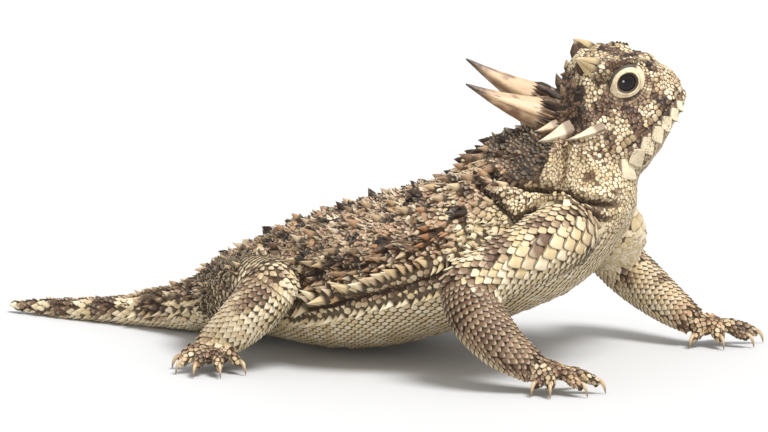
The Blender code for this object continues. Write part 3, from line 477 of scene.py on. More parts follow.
def lofted(rings):
    """A closed skin over rows of ring points, as a bmesh in millimetres."""
    rows, sides = rings.shape[:2]
    bm = bmesh.new()
    bmesh.ops.create_grid(bm, x_segments=sides, y_segments=rows - 1, size=1)
    bm.verts.ensure_lookup_table()
    for i, vert in enumerate(bm.verts):
        vert.co = rings[i // (sides + 1), i % (sides + 1) % sides]
    bmesh.ops.remove_doubles(bm, verts=bm.verts, dist=1e-5)
    bmesh.ops.holes_fill(bm, edges=bm.edges, sides=0)
    bmesh.ops.recalc_face_normals(bm, faces=bm.faces)
    return bm


def shrunk(form, rows, sides, depth):
    """Rings over a form, drawn inwards by the skin's depth."""
    t = np.linspace(0, form.last, rows)[:, None]
    rings = form.point(t, np.arange(sides)[None, :] / sides)
    middle = rings.mean(axis=1, keepdims=True)
    reach = np.linalg.norm(rings - middle, axis=-1, keepdims=True)
    return middle + (rings - middle) * np.maximum(1 - depth / np.maximum(reach, 1e-6), 0.35)


def ball(centre, radius):
    bm = bmesh.new()
    bmesh.ops.create_icosphere(bm, subdivisions=4, radius=radius, matrix=Matrix.Translation(Vector(centre)))
    return bm


def joined(parts):
    """Several bmeshes as one."""
    whole, keep = bmesh.new(), bpy.data.meshes.new("part")
    for part in parts:
        part.to_mesh(keep)
        whole.from_mesh(keep)
        part.free()
    bpy.data.meshes.remove(keep)
    return whole


def placed(name, data):
    """An object of the scene that shows a mesh, light or camera."""
    obj = bpy.data.objects.new(name, data)
    bpy.context.scene.collection.objects.link(obj)
    return obj


def mouth_height(x):
    """Height of the line between the lips at x, in the head's frame."""
    return np.interp(x, (MOUTH_CORNER_X, 22.6), (MOUTH_CORNER_Z, MOUTH_FRONT_Z))


def line_reach(points, line):
    """The distance of each point from a smooth line through a few places."""
    line = smooth_rows(line, np.linspace(0, len(line) - 1, 6 * len(line)))
    a, b = line[:-1], line[1:]
    best = np.full(len(points), 1e3)
    near = np.nonzero(((points > line.min(axis=0) - 5) & (points < line.max(axis=0) + 5)).all(axis=1))[0]
    step = b - a
    span = np.maximum((step**2).sum(-1), 1e-9)
    for k in range(len(a)):
        f = np.clip(((points[near] - a[k]) @ step[k]) / span[k], 0, 1)
        reach = np.linalg.norm(points[near] - a[k] - f[:, None] * step[k], axis=1)
        best[near] = np.minimum(best[near], reach)
    return best


def both_sides(line):
    """A line on the trunk's right side, and its mirror image on the left."""
    line = np.array(line, float)
    return (TRUNK_FORM.point(line[:, 0], line[:, 1]), TRUNK_FORM.point(line[:, 0], 1 - line[:, 1]))


@cache
def back_rows():
    """The larger spines of the back and tail base: section, turn, length and radius."""
    rng = np.random.default_rng(9)
    out = []
    for start, end, pitch, columns in ((5.4, 13.9, 3.5, BACK_COLUMNS), (3.0, 5.4, 1.9, TAIL_COLUMNS)):
        for index, (v, long, radius) in enumerate(columns):
            line = TRUNK_FORM.point(np.linspace(start, end, 60), np.full(60, v))
            count = int(np.linalg.norm(np.diff(line, axis=0), axis=1).sum() / pitch)
            for i in range(count):
                for side in (1, -1):
                    t = start + (end - start) * (i + 0.5 * (index % 2) + 0.25 + rng.uniform(-0.14, 0.14)) / count
                    grow = rng.uniform(0.78, 1.12)
                    out.append((t, side * (v + rng.uniform(-0.009, 0.009)), long * grow, radius * grow))
    return np.array(out)


@cache
def mounds():
    """The mounds under the larger spines, as a tree of their tops and their reach."""
    rows = back_rows()
    return tree_of(TRUNK_FORM.point(rows[:, 0], rows[:, 1])), 1.35 * rows[:, 3] + 0.2


def mound_share(points, where):
    """How much each point lies on the mound under one of the larger spines."""
    tree, widths = mounds()
    out = np.zeros(len(points))
    for i in np.nonzero(where)[0]:
        _, index, reach = tree.find(points[i])
        out[i] = math.exp(-((reach / widths[index]) ** 2))
    return out


def samples(index):
    """Rows and sides of the places that stand for a form when points look for the nearest form."""
    if index < FIRST_LIMB:
        return (170, 72) if index == IS_TRUNK else (90, 56)
    return (24, 24) if index < FIRST_PALM else (14, 16)


class Body:
    """The skin as arrays: places, normals, quads, and for each point its form, its place on it and its lie."""

    def __init__(self, depth, grain):
        self.points, self.quads = self.fused(depth, grain)
        self.edges = np.concatenate([self.quads[:, pair] for pair in ([0, 1], [1, 2], [2, 3], [3, 0])])
        self.degree = sum(np.bincount(ends, minlength=len(self.points)) for ends in self.edges.T)
        self.even(3)
        self.fill_creases(24)
        self.place_on_forms()
        self.sculpt()
        self.normals = self.point_normals()
        self.tree = BVHTree.FromPolygons([Vector(p) for p in self.points], self.quads.tolist())

    def fused(self, depth, grain):
        """All forms joined and remeshed as one skin."""
        parts = [lofted(shrunk(TRUNK_FORM, 120, 96, depth)), lofted(shrunk(HEAD_FORM, 60, 64, depth))]
        parts += [lofted(shrunk(limb, 28, 32, depth)) for limb in LIMBS]
        parts += [lofted(shrunk(toe, 16, 16, 0.16)) for toe in TOES]
        parts += [ball(limb.points[end][:3], limb.points[end][3] - depth) for limb in LIMBS for end in (0, -1)]
        parts += [ball(toe.points[-1][:3], toe.points[-1][3] - 0.1) for toe in TOES]
        parts += [lofted(shrunk(palm, 24, 32, 0.2)) for palm in PALMS]
        for side in (1, -1):
            for ahead, out, up, radius in LID_BALLS:
                parts.append(ball(from_head((EYE[0] + ahead, (EYE[1] + out) * side, EYE[2] + up)), radius))
        mesh = bpy.data.meshes.new("forms")
        whole = joined(parts)
        whole.to_mesh(mesh)
        whole.free()
        form = placed("forms", mesh)
        remesh = form.modifiers.new("remesh", "REMESH")
        remesh.mode = "VOXEL"
        remesh.voxel_size = grain
        remesh.adaptivity = 0
        skin = bpy.data.meshes.new_from_object(form.evaluated_get(bpy.context.evaluated_depsgraph_get()))
        points = np.empty(len(skin.vertices) * 3)
        skin.vertices.foreach_get("co", points)
        corners = np.empty(len(skin.loops), int)
        skin.loops.foreach_get("vertex_index", corners)
        if len(corners) != 4 * len(skin.polygons):
            raise RuntimeError("the remeshed skin isn't all quads")
        bpy.data.objects.remove(form)
        bpy.data.meshes.remove(mesh)
        bpy.data.meshes.remove(skin)
        return points.reshape(-1, 3), corners.reshape(-1, 4)

    def average(self, values):
        """The mean of each point's neighbours."""
        a, b = self.edges.T
        out = np.empty_like(values)
        for k in range(values.shape[1]):
            out[:, k] = np.bincount(a, values[b, k], len(values)) + np.bincount(b, values[a, k], len(values))
        return out / self.degree[:, None]

    def point_normals(self):
        p = self.points[self.quads]
        face = np.cross(p[:, 2] - p[:, 0], p[:, 3] - p[:, 1])
        out = np.zeros_like(self.points)
        for k in range(3):
            for corner in range(4):
                out[:, k] += np.bincount(self.quads[:, corner], face[:, k], len(out))
        return unit(out)

    def even(self, rounds):
        """Smooths the steps that remeshing leaves, without drawing the skin in."""
        for _ in range(rounds):
            for strength in (0.6, -0.62):
                self.points = self.points + strength * (self.average(self.points) - self.points)

    def fill_creases(self, rounds):
        """Rounds the inner corners where forms meet, as flesh does."""
        for _ in range(rounds):
            normals = self.point_normals()
            pull = ((self.average(self.points) - self.points) * normals).sum(-1)
            self.points = self.points + normals * np.clip(pull - 0.004, 0, 0.12)[:, None]

    def place_on_forms(self):
        """Finds for each point the form it lies on, its place there and the way its scales point."""
        spots, tags, along, around = [], [], [], []
        for index, form in enumerate(FORMS):
            rows, sides = samples(index)
            ends = np.linspace(0.001, form.last - 0.001, rows)
            t, v = (a.ravel() for a in np.meshgrid(ends, np.arange(sides) / sides, indexing="ij"))
            spots.append(form.point(t, v))
            tags.append(np.stack([np.full(len(t), index), t, v], -1))
            along.append((form.point(t + 0.01, v) - form.point(t - 0.01, v)) / 0.02)
            around.append((form.point(t, v + 0.002) - form.point(t, v - 0.002)) / 0.004)
        spots, tags, along, around = (np.concatenate(a) for a in (spots, tags, along, around))
        tree = tree_of(spots)
        found = np.array([tree.find(p)[1] for p in self.points])
        self.form = tags[found, 0].astype(int)
        gap, along, around = self.points - spots[found], along[found], around[found]
        self.t = tags[found, 1] + (gap * along).sum(-1) / np.maximum((along**2).sum(-1), 1e-6)
        self.v = (tags[found, 2] + (gap * around).sum(-1) / np.maximum((around**2).sum(-1), 1e-6)) % 1.0
        lie = unit(along) * np.where(self.form < FIRST_LIMB, -1.0, 1.0)[:, None]
        for _ in range(14):
            lie = unit(0.5 * lie + 0.5 * self.average(lie))
        self.lie = lie

    def sculpt(self):
        """Presses folds and hollows into the skin, raises ridges and mounds from it, and opens the eyes."""
        normals = self.point_normals()
        push = np.zeros(len(self.points))
        # The crease marks folds and hollows: scales keep out of them, and skin and scales darken there as painted shade
        self.crease = np.zeros(len(self.points))
        self.core = (self.form == IS_TRUNK) | (self.form == IS_HEAD)
        self.mould_folds(push)
        self.mould_trunk(push)
        self.mould_head(push)
        self.points = self.points + normals * push[:, None]
        self.open_eyes()

    def mould_folds(self, push):
        """Folds and ridges of neck and flank, fainter over the throat."""
        around = off_top(self.v)
        throat = 1 - 0.85 * ramp(around, 0.32, 0.42) * (self.form == IS_TRUNK) * (self.t > 12.6)
        for folds, sign in ((FOLDS, -1), (RIDGES, 1)):
            for line, depth, half in folds:
                for side in both_sides(line):
                    reach = line_reach(self.points, side)
                    push += sign * depth * (bell(reach, half) * self.core * throat)
                    if sign < 0:
                        self.crease = np.maximum(self.crease, bell(reach, half * 0.75) * self.core * throat)
                        push += depth * 0.3 * bell(reach - 2.2 * half, 0.9 * half) * self.core * (around < 0.36)

    def mould_trunk(self, push):
        """Mounds under the spines of the back, the skin's unevenness, and the tuck along the throat."""
        on_back = self.core & (off_top(self.v) < 0.26) & (self.t > 3) & (self.form == IS_TRUNK)
        push += 0.55 * mound_share(self.points, on_back) + 0.26 * on_back * drift(self.points, 1.7, 71)
        push += 0.10 * (self.core & ~on_back) * drift(self.points, 1.3, 72)
        tuck = np.array([TRUNK_FORM.point(t, 0.5) for t in (13.3, 14.0, 14.8, 15.6)])
        push -= 0.5 * self.core * bell(line_reach(self.points, tuck), 3.4)

    def mould_head(self, push):
        """Rings round the eyes, temples, ridges, mouth, nostrils and ears."""
        local, on_head = to_head(self.points), self.form == IS_HEAD
        x, z = local[:, 0], local[:, 2]
        ring = np.sqrt(((x - EYE[0]) / 1.18) ** 2 + (z - EYE[2]) ** 2)
        beside = on_head & (abs(local[:, 1]) > 5.4)
        push += beside * 0.2 * np.cos((ring - 3.3) * math.tau / 1.15) * bell(ring - 4.4, 1.7)
        for side in (1, -1):
            temple = bell(shares_from(local, TEMPLE, TEMPLE_RADII, side))
            push -= 1.1 * self.core * temple
            self.crease = np.maximum(self.crease, 0.3 * self.core * temple)
            for line, rise, half in HEAD_RIDGES:
                push += rise * self.core * bell(line_reach(local, np.array(line) * (1, side, 1)), half)
        front = on_head & (x > MOUTH_CORNER_X - 0.6)
        lips = z - mouth_height(x)
        mouth = front * bell(lips, 0.3) * ramp(x, MOUTH_CORNER_X - 0.6, MOUTH_CORNER_X + 1.0)
        push -= 0.55 * mouth
        push += 0.16 * front * bell(abs(lips) - 0.75, 0.4)
        self.crease = np.maximum(self.crease, mouth)
        for side in (1, -1):
            nostril = shares_from(local, NOSTRIL, NOSTRIL_RADII, side)
            push -= bell(nostril)
            self.crease = np.maximum(self.crease, bell(nostril, 0.9))
            ear = shares_from(local, EAR, EAR_RADII, side)
            push -= bell(ear) * self.core
            self.crease = np.maximum(self.crease, 0.75 * bell(ear, 0.8))

    def open_eyes(self):
        """Sinks the skin behind the lids and in the gap between them."""
        self.eye_open = np.zeros(len(self.points))
        for side in (1, -1):
            centre, axis, up, along = eye_axes(side)
            gap = self.points - centre
            reach = np.linalg.norm(gap, axis=1)
            ahead = unit(gap)
            opening = np.sqrt((ahead @ along / EYE_OPENING[0]) ** 2 + (ahead @ up / EYE_OPENING[1]) ** 2)
            inside = (opening < 1) & (gap @ axis > 0) & (reach < 5)
            depth = np.where(inside, EYE_RADIUS - 0.7, reach)
            lid = np.sqrt((ahead @ along / LID_REACH[0]) ** 2 + (ahead @ up / LID_REACH[1]) ** 2)
            over = (lid < 1.2) & (gap @ axis > 0) & (reach < 5) & ~inside
            depth = np.where(over, np.minimum(reach, 3.05), depth)
            inside |= over
            self.points = np.where(inside[:, None], centre + ahead * depth[:, None], self.points)
            self.eye_open = np.maximum(self.eye_open, ((gap @ axis > 0) & (reach < 5)) * (lid < 1.16))


def eye_axes(side):
    """The centre of an eye, the way it looks, and the lids' upward and forward axes."""
    centre = from_head((EYE[0], EYE[1] * side, EYE[2]))
    look = unit(np.array((0.17, side * 1.0, 0.0)))
    along = unit(np.array((1.0, -0.17 * side, 0.06)))
    up = unit(np.cross(along, look) * side)
    along = np.cross(look, up) * side
    return centre, look @ HEAD_TURN.T, up @ HEAD_TURN.T, unit(along) @ HEAD_TURN.T


class Markings:
    """The four layers of markings at points of the body, worked out region by region."""

    def __init__(self, points, form, t, v):
        self.points, self.form, self.t, self.v, self.around = points, form, t, v, off_top(v)
        self.trunk, self.head = form == IS_TRUNK, form == IS_HEAD
        self.thigh = (form == FIRST_LIMB + 4) | (form == FIRST_LIMB + 6)
        self.coarse, self.fine = drift(points, 1.5, 31), drift(points, 0.7, 32)
        self.mottle = ramp(self.coarse + 0.6 * self.fine, 0.2, 1.4)
        self.colour_back()
        self.colour_blotches()
        self.colour_neck()
        self.colour_tail()
        self.colour_head()
        self.colour_limbs()

    def at_least(self, **amounts):
        """Raises layers to the given amounts where they are lower."""
        for layer, amount in amounts.items():
            setattr(self, layer, np.maximum(getattr(self, layer), amount))

    def colour_back(self):
        """Brown and dark mottling of back and flanks, with warm and pale patches."""
        t, around, trunk, coarse, fine = self.t, self.around, self.trunk, self.coarse, self.fine
        edge = np.interp(t, *zip(*BACK_EDGE))
        self.pale = np.where(trunk, ramp(around + 0.014 * coarse, edge - 0.012, edge + 0.022), 1.0)
        raised = mound_share(self.points, trunk & (t > 3) & (around < 0.27))
        back = trunk * (1 - self.pale)
        rump = 1 - ramp(t, 8.5, 11.0)
        valleys = (0.5 + 0.35 * rump) * (1 - raised) * ramp(fine, -0.8 - 0.5 * rump, 0.7)
        self.brown = back * np.clip((0.8 + 0.3 * rump) * self.mottle + valleys, 0, 1)
        flank = ramp(around, 0.17, 0.2) * (1 - ramp(t, 11.0, 11.6))
        self.at_least(brown=back * 0.75 * flank)
        patches = ramp(coarse - 0.6 * fine, 0.45 - 0.5 * np.maximum(rump, flank), 1.3 - 0.4 * rump)
        self.dark = back * (0.8 + 0.2 * rump) * patches
        self.warm = back * ramp(drift(self.points, 2.8, 61), -0.2, 1.0) * 0.9
        for side in (1, -1):
            gap = np.linalg.norm(self.points - TRUNK_FORM.point(11.25, 0.215 * side), axis=1)
            self.at_least(warm=trunk * 1.3 * (1 - ramp(gap / 3.2 + 0.15 * coarse, 0.6, 1.1)))
        self.at_least(pale=trunk * 0.5 * raised * ramp(drift(self.points, 3.1, 63), -0.8, 0.8))

    def colour_blotches(self):
        """Dark blotches with pale rims over the back, and the shade between the two fringes."""
        t, trunk, fine = self.t, self.trunk, self.fine
        for place, turn_at, long, wide in BLOTCHES:
            for side in (1, -1):
                before, centre, after = (TRUNK_FORM.point(place + step, side * turn_at) for step in (-0.05, 0, 0.05))
                gap = self.points - centre
                run = gap @ unit(after - before)
                cross = np.sqrt(np.maximum((gap**2).sum(-1) - run**2, 0))
                ring = np.sqrt((run / long) ** 2 + (cross / wide) ** 2) + 0.16 * fine
                spot = trunk * (1 - ramp(ring, 0.85, 1.15))
                rim = np.sqrt(((run + 0.8) / (long + 0.6)) ** 2 + (cross / (wide + 0.7)) ** 2) + 0.16 * fine
                halo = trunk * (1 - ramp(rim, 0.95, 1.25)) * (1 - spot)
                self.at_least(dark=spot, pale=0.85 * halo)
                self.brown = self.brown * (1 - halo)
        shade = trunk * ramp(t, 5.5, 7) * (1 - ramp(t, 12.2, 12.8)) * bell(self.around - 0.279, 0.012)
        self.at_least(brown=0.8 * shade)

    def colour_neck(self):
        """The dark hollow behind the head, and pale flaps with a stripe between them."""
        neck = self.trunk * ramp(self.t, 13.5, 14.4) * (1 - ramp(self.around, 0.150, 0.20))
        self.at_least(brown=neck * 0.95, dark=neck * (0.6 + 0.36 * ramp(self.coarse, -0.7, 0.5)))
        for place, turn_at, reach, amount in NECK_PATCHES:
            for side in (1, -1):
                gap = np.linalg.norm(self.points - TRUNK_FORM.point(place, side * turn_at), axis=1) / reach
                spot = (self.trunk | self.head) * amount * (1 - ramp(gap + 0.12 * self.fine, 0.7, 1.15))
                self.at_least(brown=spot, dark=0.92 * spot * (reach > 1.2))

    def colour_tail(self):
        for place, half in TAIL_BANDS:
            band = 1 - ramp(abs(self.t + 0.06 * self.coarse - place), half * 0.7, half * 1.35)
            spot = self.trunk * (self.t < 4.6) * band * (1 - ramp(self.around, 0.24, 0.36))
            self.at_least(brown=spot, dark=0.62 * spot * ramp(self.fine, -1.2, 0.6))

    def colour_head(self):
        """The head's bands, its dark nape, the rings round its eyes and the nostrils."""
        points, head, coarse, fine, local = self.points, self.head, self.coarse, self.fine, to_head(self.points)
        x, y, z = local[:, 0], abs(local[:, 1]), local[:, 2]
        for line, half, amount, black in HEAD_BANDS:
            for side in (1, -1):
                reach = line_reach(local, np.array(line) * (1, side, 1)) / half + 0.2 * drift(points, 1.1, 41)
                spot = head * amount * (1 - ramp(reach, 0.55, 1.25))
                self.at_least(brown=spot, dark=black * spot / amount * ramp(fine + 0.5 * coarse, -0.5, 0.8))
        rear = np.where(z > 4.4, 7.6, 2.8) + 0.5 * coarse
        nape = head * ramp(rear - x, 0.0, 1.2) * (z > -1)
        self.at_least(brown=nape * (0.75 + 0.25 * ramp(fine, -1, 0)),
                      dark=0.9 * nape * ramp(coarse + 0.8 * fine, -0.9, 0.5))
        eye = np.sqrt(((x - EYE[0]) / 1.25) ** 2 + (z - EYE[2]) ** 2) + 9 * (y < 5.4)
        self.at_least(brown=0.5 * (head * bell(eye - 3.7, 1.1) * ramp(fine + coarse, -1.6, 1.0)),
                      warm=head * 0.3 * ramp(drift(points, 2.6, 64), -0.2, 1.0) * (z < 6))
        # Painted shade: the nostrils' openings are painted dark
        nostril = shares_from(np.stack([x, y, z], -1), NOSTRIL, NOSTRIL_SHADE_RADII)
        hole = head * (1 - ramp(nostril, 0.75, 1.1))
        self.at_least(brown=hole, dark=hole)
        self.brown = np.where(head, np.clip(1.35 * self.brown, 0, 1), self.brown)
        self.dark = np.where(head, np.clip(1.2 * self.dark, 0, 1), self.dark)

    def colour_limbs(self):
        """Grey brown upper sides of the limbs, mottled hips, and warm hands and feet."""
        form, t, around, points, coarse, thigh = self.form, self.t, self.around, self.points, self.coarse, self.thigh
        limb, hand = (form >= FIRST_LIMB) & (form < FIRST_PALM), form >= FIRST_PALM
        lower = limb & (form % 2 == 1)
        upper = 1 - ramp(around, 0.16, 0.34)
        grey = ramp(drift(points, 2.4, 51) + 0.35 * drift(points, 0.9, 52), 0.0, 1.2)
        facing = np.where(form == FIRST_LIMB, self.v, -self.v)
        arm_top = ((form == FIRST_LIMB) | (form == FIRST_LIMB + 2)) * bell((facing + 0.5) % 1.0 - 0.62, 0.05)
        near_forearm = (form == FIRST_LIMB + 1) | (form == FIRST_PALM)
        self.at_least(brown=limb * 0.8 * grey * upper)
        self.at_least(brown=0.85 * arm_top * ramp(coarse, 0.1, 0.9))
        self.at_least(brown=near_forearm * (0.62 + 0.38 * grey) * (1 - ramp(around, 0.3, 0.45)))
        self.at_least(brown=(lower & ~near_forearm) * (0.22 + 0.5 * grey) * upper)
        hip = thigh * (1 - ramp(t, 2.2, 2.8)) * (1 - ramp(around, 0.30, 0.42))
        self.pale = np.where(thigh, 1 - hip * (0.5 + 0.4 * self.mottle), self.pale)
        self.brown = np.where(thigh, np.maximum(0.3 * self.brown, hip * self.mottle), self.brown)
        self.at_least(dark=0.8 * hip * ramp(coarse - 0.6 * self.fine, 0.3, 1.2))
        wrist = np.where(lower, ramp(t, 2.4, 3.0) * 0.6, 0.0)
        toes = hand * (0.15 + 0.5 * ramp(drift(points, 2.0, 65), -0.2, 1.0))
        self.at_least(warm=np.maximum(wrist, toes), brown=hand * (0.15 + 0.6 * ramp(coarse, -0.4, 1.1)))


def marks(points, form, t, v):
    """Dark, pale, warm and brown amounts at points of the body, 0 to 1. Skin and scales share them."""
    found = Markings(points, form, t, v)
    return np.clip(np.stack([found.dark, found.pale, found.warm, found.brown], -1), 0, 1)


@cache
def body():
    """The skin's arrays, worked out once."""
    sizes = bpy.context.scene.lizard
    return Body(sizes.skin_depth / MM, sizes.skin_grain / MM)


def on_skin(places, most):
    """Carries places to the skin: the place there, its face, and whether the skin is within reach."""
    spots, faces, good = [], [], []
    for place in places:
        spot, _, face, reach = body().tree.find_nearest(place)
        spots.append(spot)
        faces.append(face)
        good.append(reach < most)
    return np.array(spots), np.array(faces, int), np.array(good, bool)


def spacing(points, form, t, v):
    """The distance between scales over the body, in mm, and their kind. Later rules come before earlier ones."""
    around = off_top(v)
    trunk, head = form == IS_TRUNK, form == IS_HEAD
    back = trunk & (t > 4.6) & (t <= 13.9)
    raised = mound_share(points, back & (around < 0.27))
    limb = (form >= FIRST_LIMB) & (form < FIRST_PALM)
    thigh = ((form == FIRST_LIMB + 4) | (form == FIRST_LIMB + 6)) & (t < 2.4) & (around < 0.36)
    local = to_head(points)
    x, y, z = local[:, 0], abs(local[:, 1]), local[:, 2]
    upper_jaw = head & (z > mouth_height(x))
    crown = head & (z > 5.2 - 0.04 * x)
    cheek = head & ~crown & (z > mouth_height(x) - 3.6) & (x > 2.0)
    eye = np.linalg.norm((local - np.array((EYE[0], 0, EYE[2]))) * (1, 0, 1), axis=1) + 9 * (y < 5.6)
    rules = (
        (back, 0.52 + 0.36 * raised, None),
        (back & (around < 0.245), None, BARB),
        (trunk & (t > 5.4) & (around > 0.245), 0.68, None),
        (trunk & (t > 11.5) & (around > 0.2), 0.50, None),
        (trunk & (t > 11.3) & (t < 12.7) & (around > 0.2) & (around < 0.31), 0.92, BARB),
        (trunk & (t > 5) & (t < 12.9) & (around > 0.285), None, SQUARE),
        (trunk & (t > 13.2), 0.50, None),
        (trunk & (t > 14.3) & (around > 0.19) & (around < 0.31), 0.41, None),
        (trunk & (t > 13.9) & (around < 0.2), 0.62, BARB),
        (trunk & (t < 5.2), 0.95, LEAF),
        (limb, 1.05, LEAF),
        (limb & ((form % 2 == 1) | (form >= FIRST_LIMB + 4)), 0.85, None),
        (thigh, 0.74 + 0.2 * (drift(points, 1.4, 73) > 0.4), BARB),
        ((form >= FIRST_PALM) & (form < FIRST_TOE), 0.70, LEAF),
        (form >= FIRST_TOE, 0.6, None),
        (head, 0.44, None),
        (cheek, 0.54, PLATE),
        (crown, 0.47, PLATE),
        (upper_jaw & (x > 16.5), 0.56, None),
        (upper_jaw & (x > 19.4), 0.50, None),
        (head & (eye < 5.4), 0.50, None),
        (head & (eye < 4.6), None, GRAIN),
        (head & (x < 1.6) & (z < 6), 0.44, GRAIN),
    )
    size, kind = np.full(len(points), 0.95), np.full(len(points), GRAIN)
    for where, reach, sort in rules:
        size = size if reach is None else np.where(where, reach, size)
        kind = kind if sort is None else np.where(where, sort, kind)
    return size, kind


def ring_rows(form, start, end, pitch, width, low, high, kind):
    """Rows of places round a form between two turns, each row set off by half a scale from the last."""
    steps = np.linspace(start, end, 400)
    middle = form.point(steps, np.full(400, (low + high) / 2))
    run = run_along(middle)
    count = max(int(run[-1] / pitch), 1)
    out = []
    for row in range(count):
        t = np.interp((row + 0.5) * run[-1] / count, run, steps)
        turns = np.linspace(low, high, 160)
        arc = form.point(np.full(160, t), turns)
        reach = run_along(arc)
        number = max(int(reach[-1] / width), 1)
        at = (np.arange(number) + 0.25 + 0.5 * (row % 2)) / number * reach[-1]
        v = np.interp(at, reach, turns)
        rest = np.tile((pitch, reach[-1] / number, kind), (number, 1))
        out.append(np.concatenate([form.point(np.full(number, t), v), rest], axis=1))
    return np.concatenate(out)


def head_side(x, z, rows=400, turns=(0.04, 0.46, 121)):
    """How far out the head's left side lies at a place along it and a height."""
    t = np.linspace(0, HEAD_FORM.last, rows)
    section = np.interp(x, HEAD_FORM.local(t, 0 * t)[:, 0], t)
    ring = HEAD_FORM.local(np.full(turns[2], section), np.linspace(*turns))
    return ring[np.argmin(abs(ring[:, 2] - z))][1]


def lip_rows():
    """Rows of places along the upper lip."""
    out = []
    for side in (1, -1):
        for x in np.arange(MOUTH_CORNER_X - 0.4, 21.4, LIP_SCALE):
            z = mouth_height(x) + 0.62
            y = side * head_side(x, z, 500, (0.05, 0.45, 81))
            out.append((*from_head((x, y, z)), LIP_SCALE, LIP_SCALE, PLATE))
    return np.array(out)


def jaw_shields():
    """The row of large pointed plates along each side of the lower jaw."""
    out = []
    for side in (1, -1):
        for x, z, size in JAW_SHIELDS:
            out.append((*from_head((x, side * head_side(x, z), z)), size, size * 0.9, SHIELD))
    return np.array(out)


def eye_rows():
    """Rings of small places round the gap between the lids."""
    out = []
    for side in (1, -1):
        centre, look, up, along = eye_axes(side)
        for ring in range(4):
            away, size = 0.66 + 0.46 * ring, 0.46 + 0.03 * ring
            wide, tall = LID_REACH[0] * 3.5 + away, LID_REACH[1] * 3.5 + away
            run = math.tau * math.sqrt((wide**2 + tall**2) / 2)
            for i in range(int(run / size)):
                angle = math.tau * (i + 0.5 * (ring % 2)) * size / run
                start = centre + along * wide * math.cos(angle) + up * tall * math.sin(angle) + look * 6
                spot = body().tree.ray_cast(start, -look)[0]
                if spot is not None and (spot - Vector(centre)).length < 4.6:
                    out.append((*spot, size, size, GRAIN))
    return np.array(out)


def ordered_rows():
    """The places of scales that lie in rows: jaw, eyes, lips and belly, then tail, limbs and toes."""
    sizes = bpy.context.scene.lizard
    belly, limb = sizes.belly_scale / MM, sizes.limb_scale / MM
    rows = [jaw_shields(), eye_rows(), lip_rows()]
    rows.append(ring_rows(TRUNK_FORM, 4.9, 13.9, belly, belly * 1.05, 0.318, 0.682, SQUARE))
    rows.append(ring_rows(TRUNK_FORM, 0.15, 4.9, 1.05, 1.0, 0.0, 1.0, LEAF))
    for index, form in enumerate(LIMBS):
        scale = limb * LIMB_SCALES[index]
        if index in (0, 2):
            # The largest plates of an arm run along its front edge
            turned = 1 - index
            for low, high, share, first, last in ARM_ROWS:
                low, high = sorted((low * turned, high * turned))
                rows.append(ring_rows(form, first, last, scale * share * 0.84, scale * share, low, high, LEAF))
            continue
        edge = 0.29 if index < 4 else 0.40
        start = 2.3 if index % 2 == 0 else 0.0
        rows.append(ring_rows(form, start, form.last, scale * 0.84, scale, -edge, edge, LEAF))
        rows.append(ring_rows(form, start, form.last, 0.82, 0.82, edge, 1 - edge, LEAF))
    for toe in TOES:
        rows.append(ring_rows(toe, 0.4, 2.9, 0.66, 1.0, -0.19, 0.19, SQUARE))
        rows.append(ring_rows(toe, 0.4, 2.9, 0.62, 0.66, 0.19, 0.81, LEAF))
    return rows


class Packing:
    """Round places that keep clear of each other, sorted into cells of 1 mm."""

    def __init__(self):
        self.cells = {}

    def free(self, place, reach):
        i, j, k = (math.floor(c) for c in place)
        span = range(-2, 3) if reach > 1.0 else range(-1, 2)
        for a in span:
            for b in span:
                for c in span:
                    for x, y, z, other in self.cells.get((i + a, j + b, k + c), ()):
                        need = 0.5 * (reach + other)
                        if (x - place[0]) ** 2 + (y - place[1]) ** 2 + (z - place[2]) ** 2 < need * need:
                            return False
        return True

    def take(self, place, reach):
        self.cells.setdefault(tuple(math.floor(c) for c in place), []).append((*place, reach))


def outlines(place, lie, side, size):
    """Each scale's outline: the nearest of the lines halfway to its neighbours, in twelve directions."""
    tree = tree_of(place)
    near = np.array([[hit[1] for hit in tree.find_n(spot, 11)][1:] for spot in place])
    gap = place[near] - place[:, None]
    x = (gap * lie[:, None]).sum(-1)
    y = (gap * side[:, None]).sum(-1)
    half = np.linalg.norm(gap, axis=-1) * (size[:, None] / (size[:, None] + size[near]))
    angles = np.arange(DIRECTIONS) * math.tau / DIRECTIONS
    facing = np.cos(angles[None, :, None] - np.arctan2(y, x)[:, None, :])
    limit = np.where(facing > 0.12, half[:, None, :] / np.maximum(facing, 0.12), 9.0).min(axis=2)
    return np.minimum(limit, 0.95 * size[:, None])


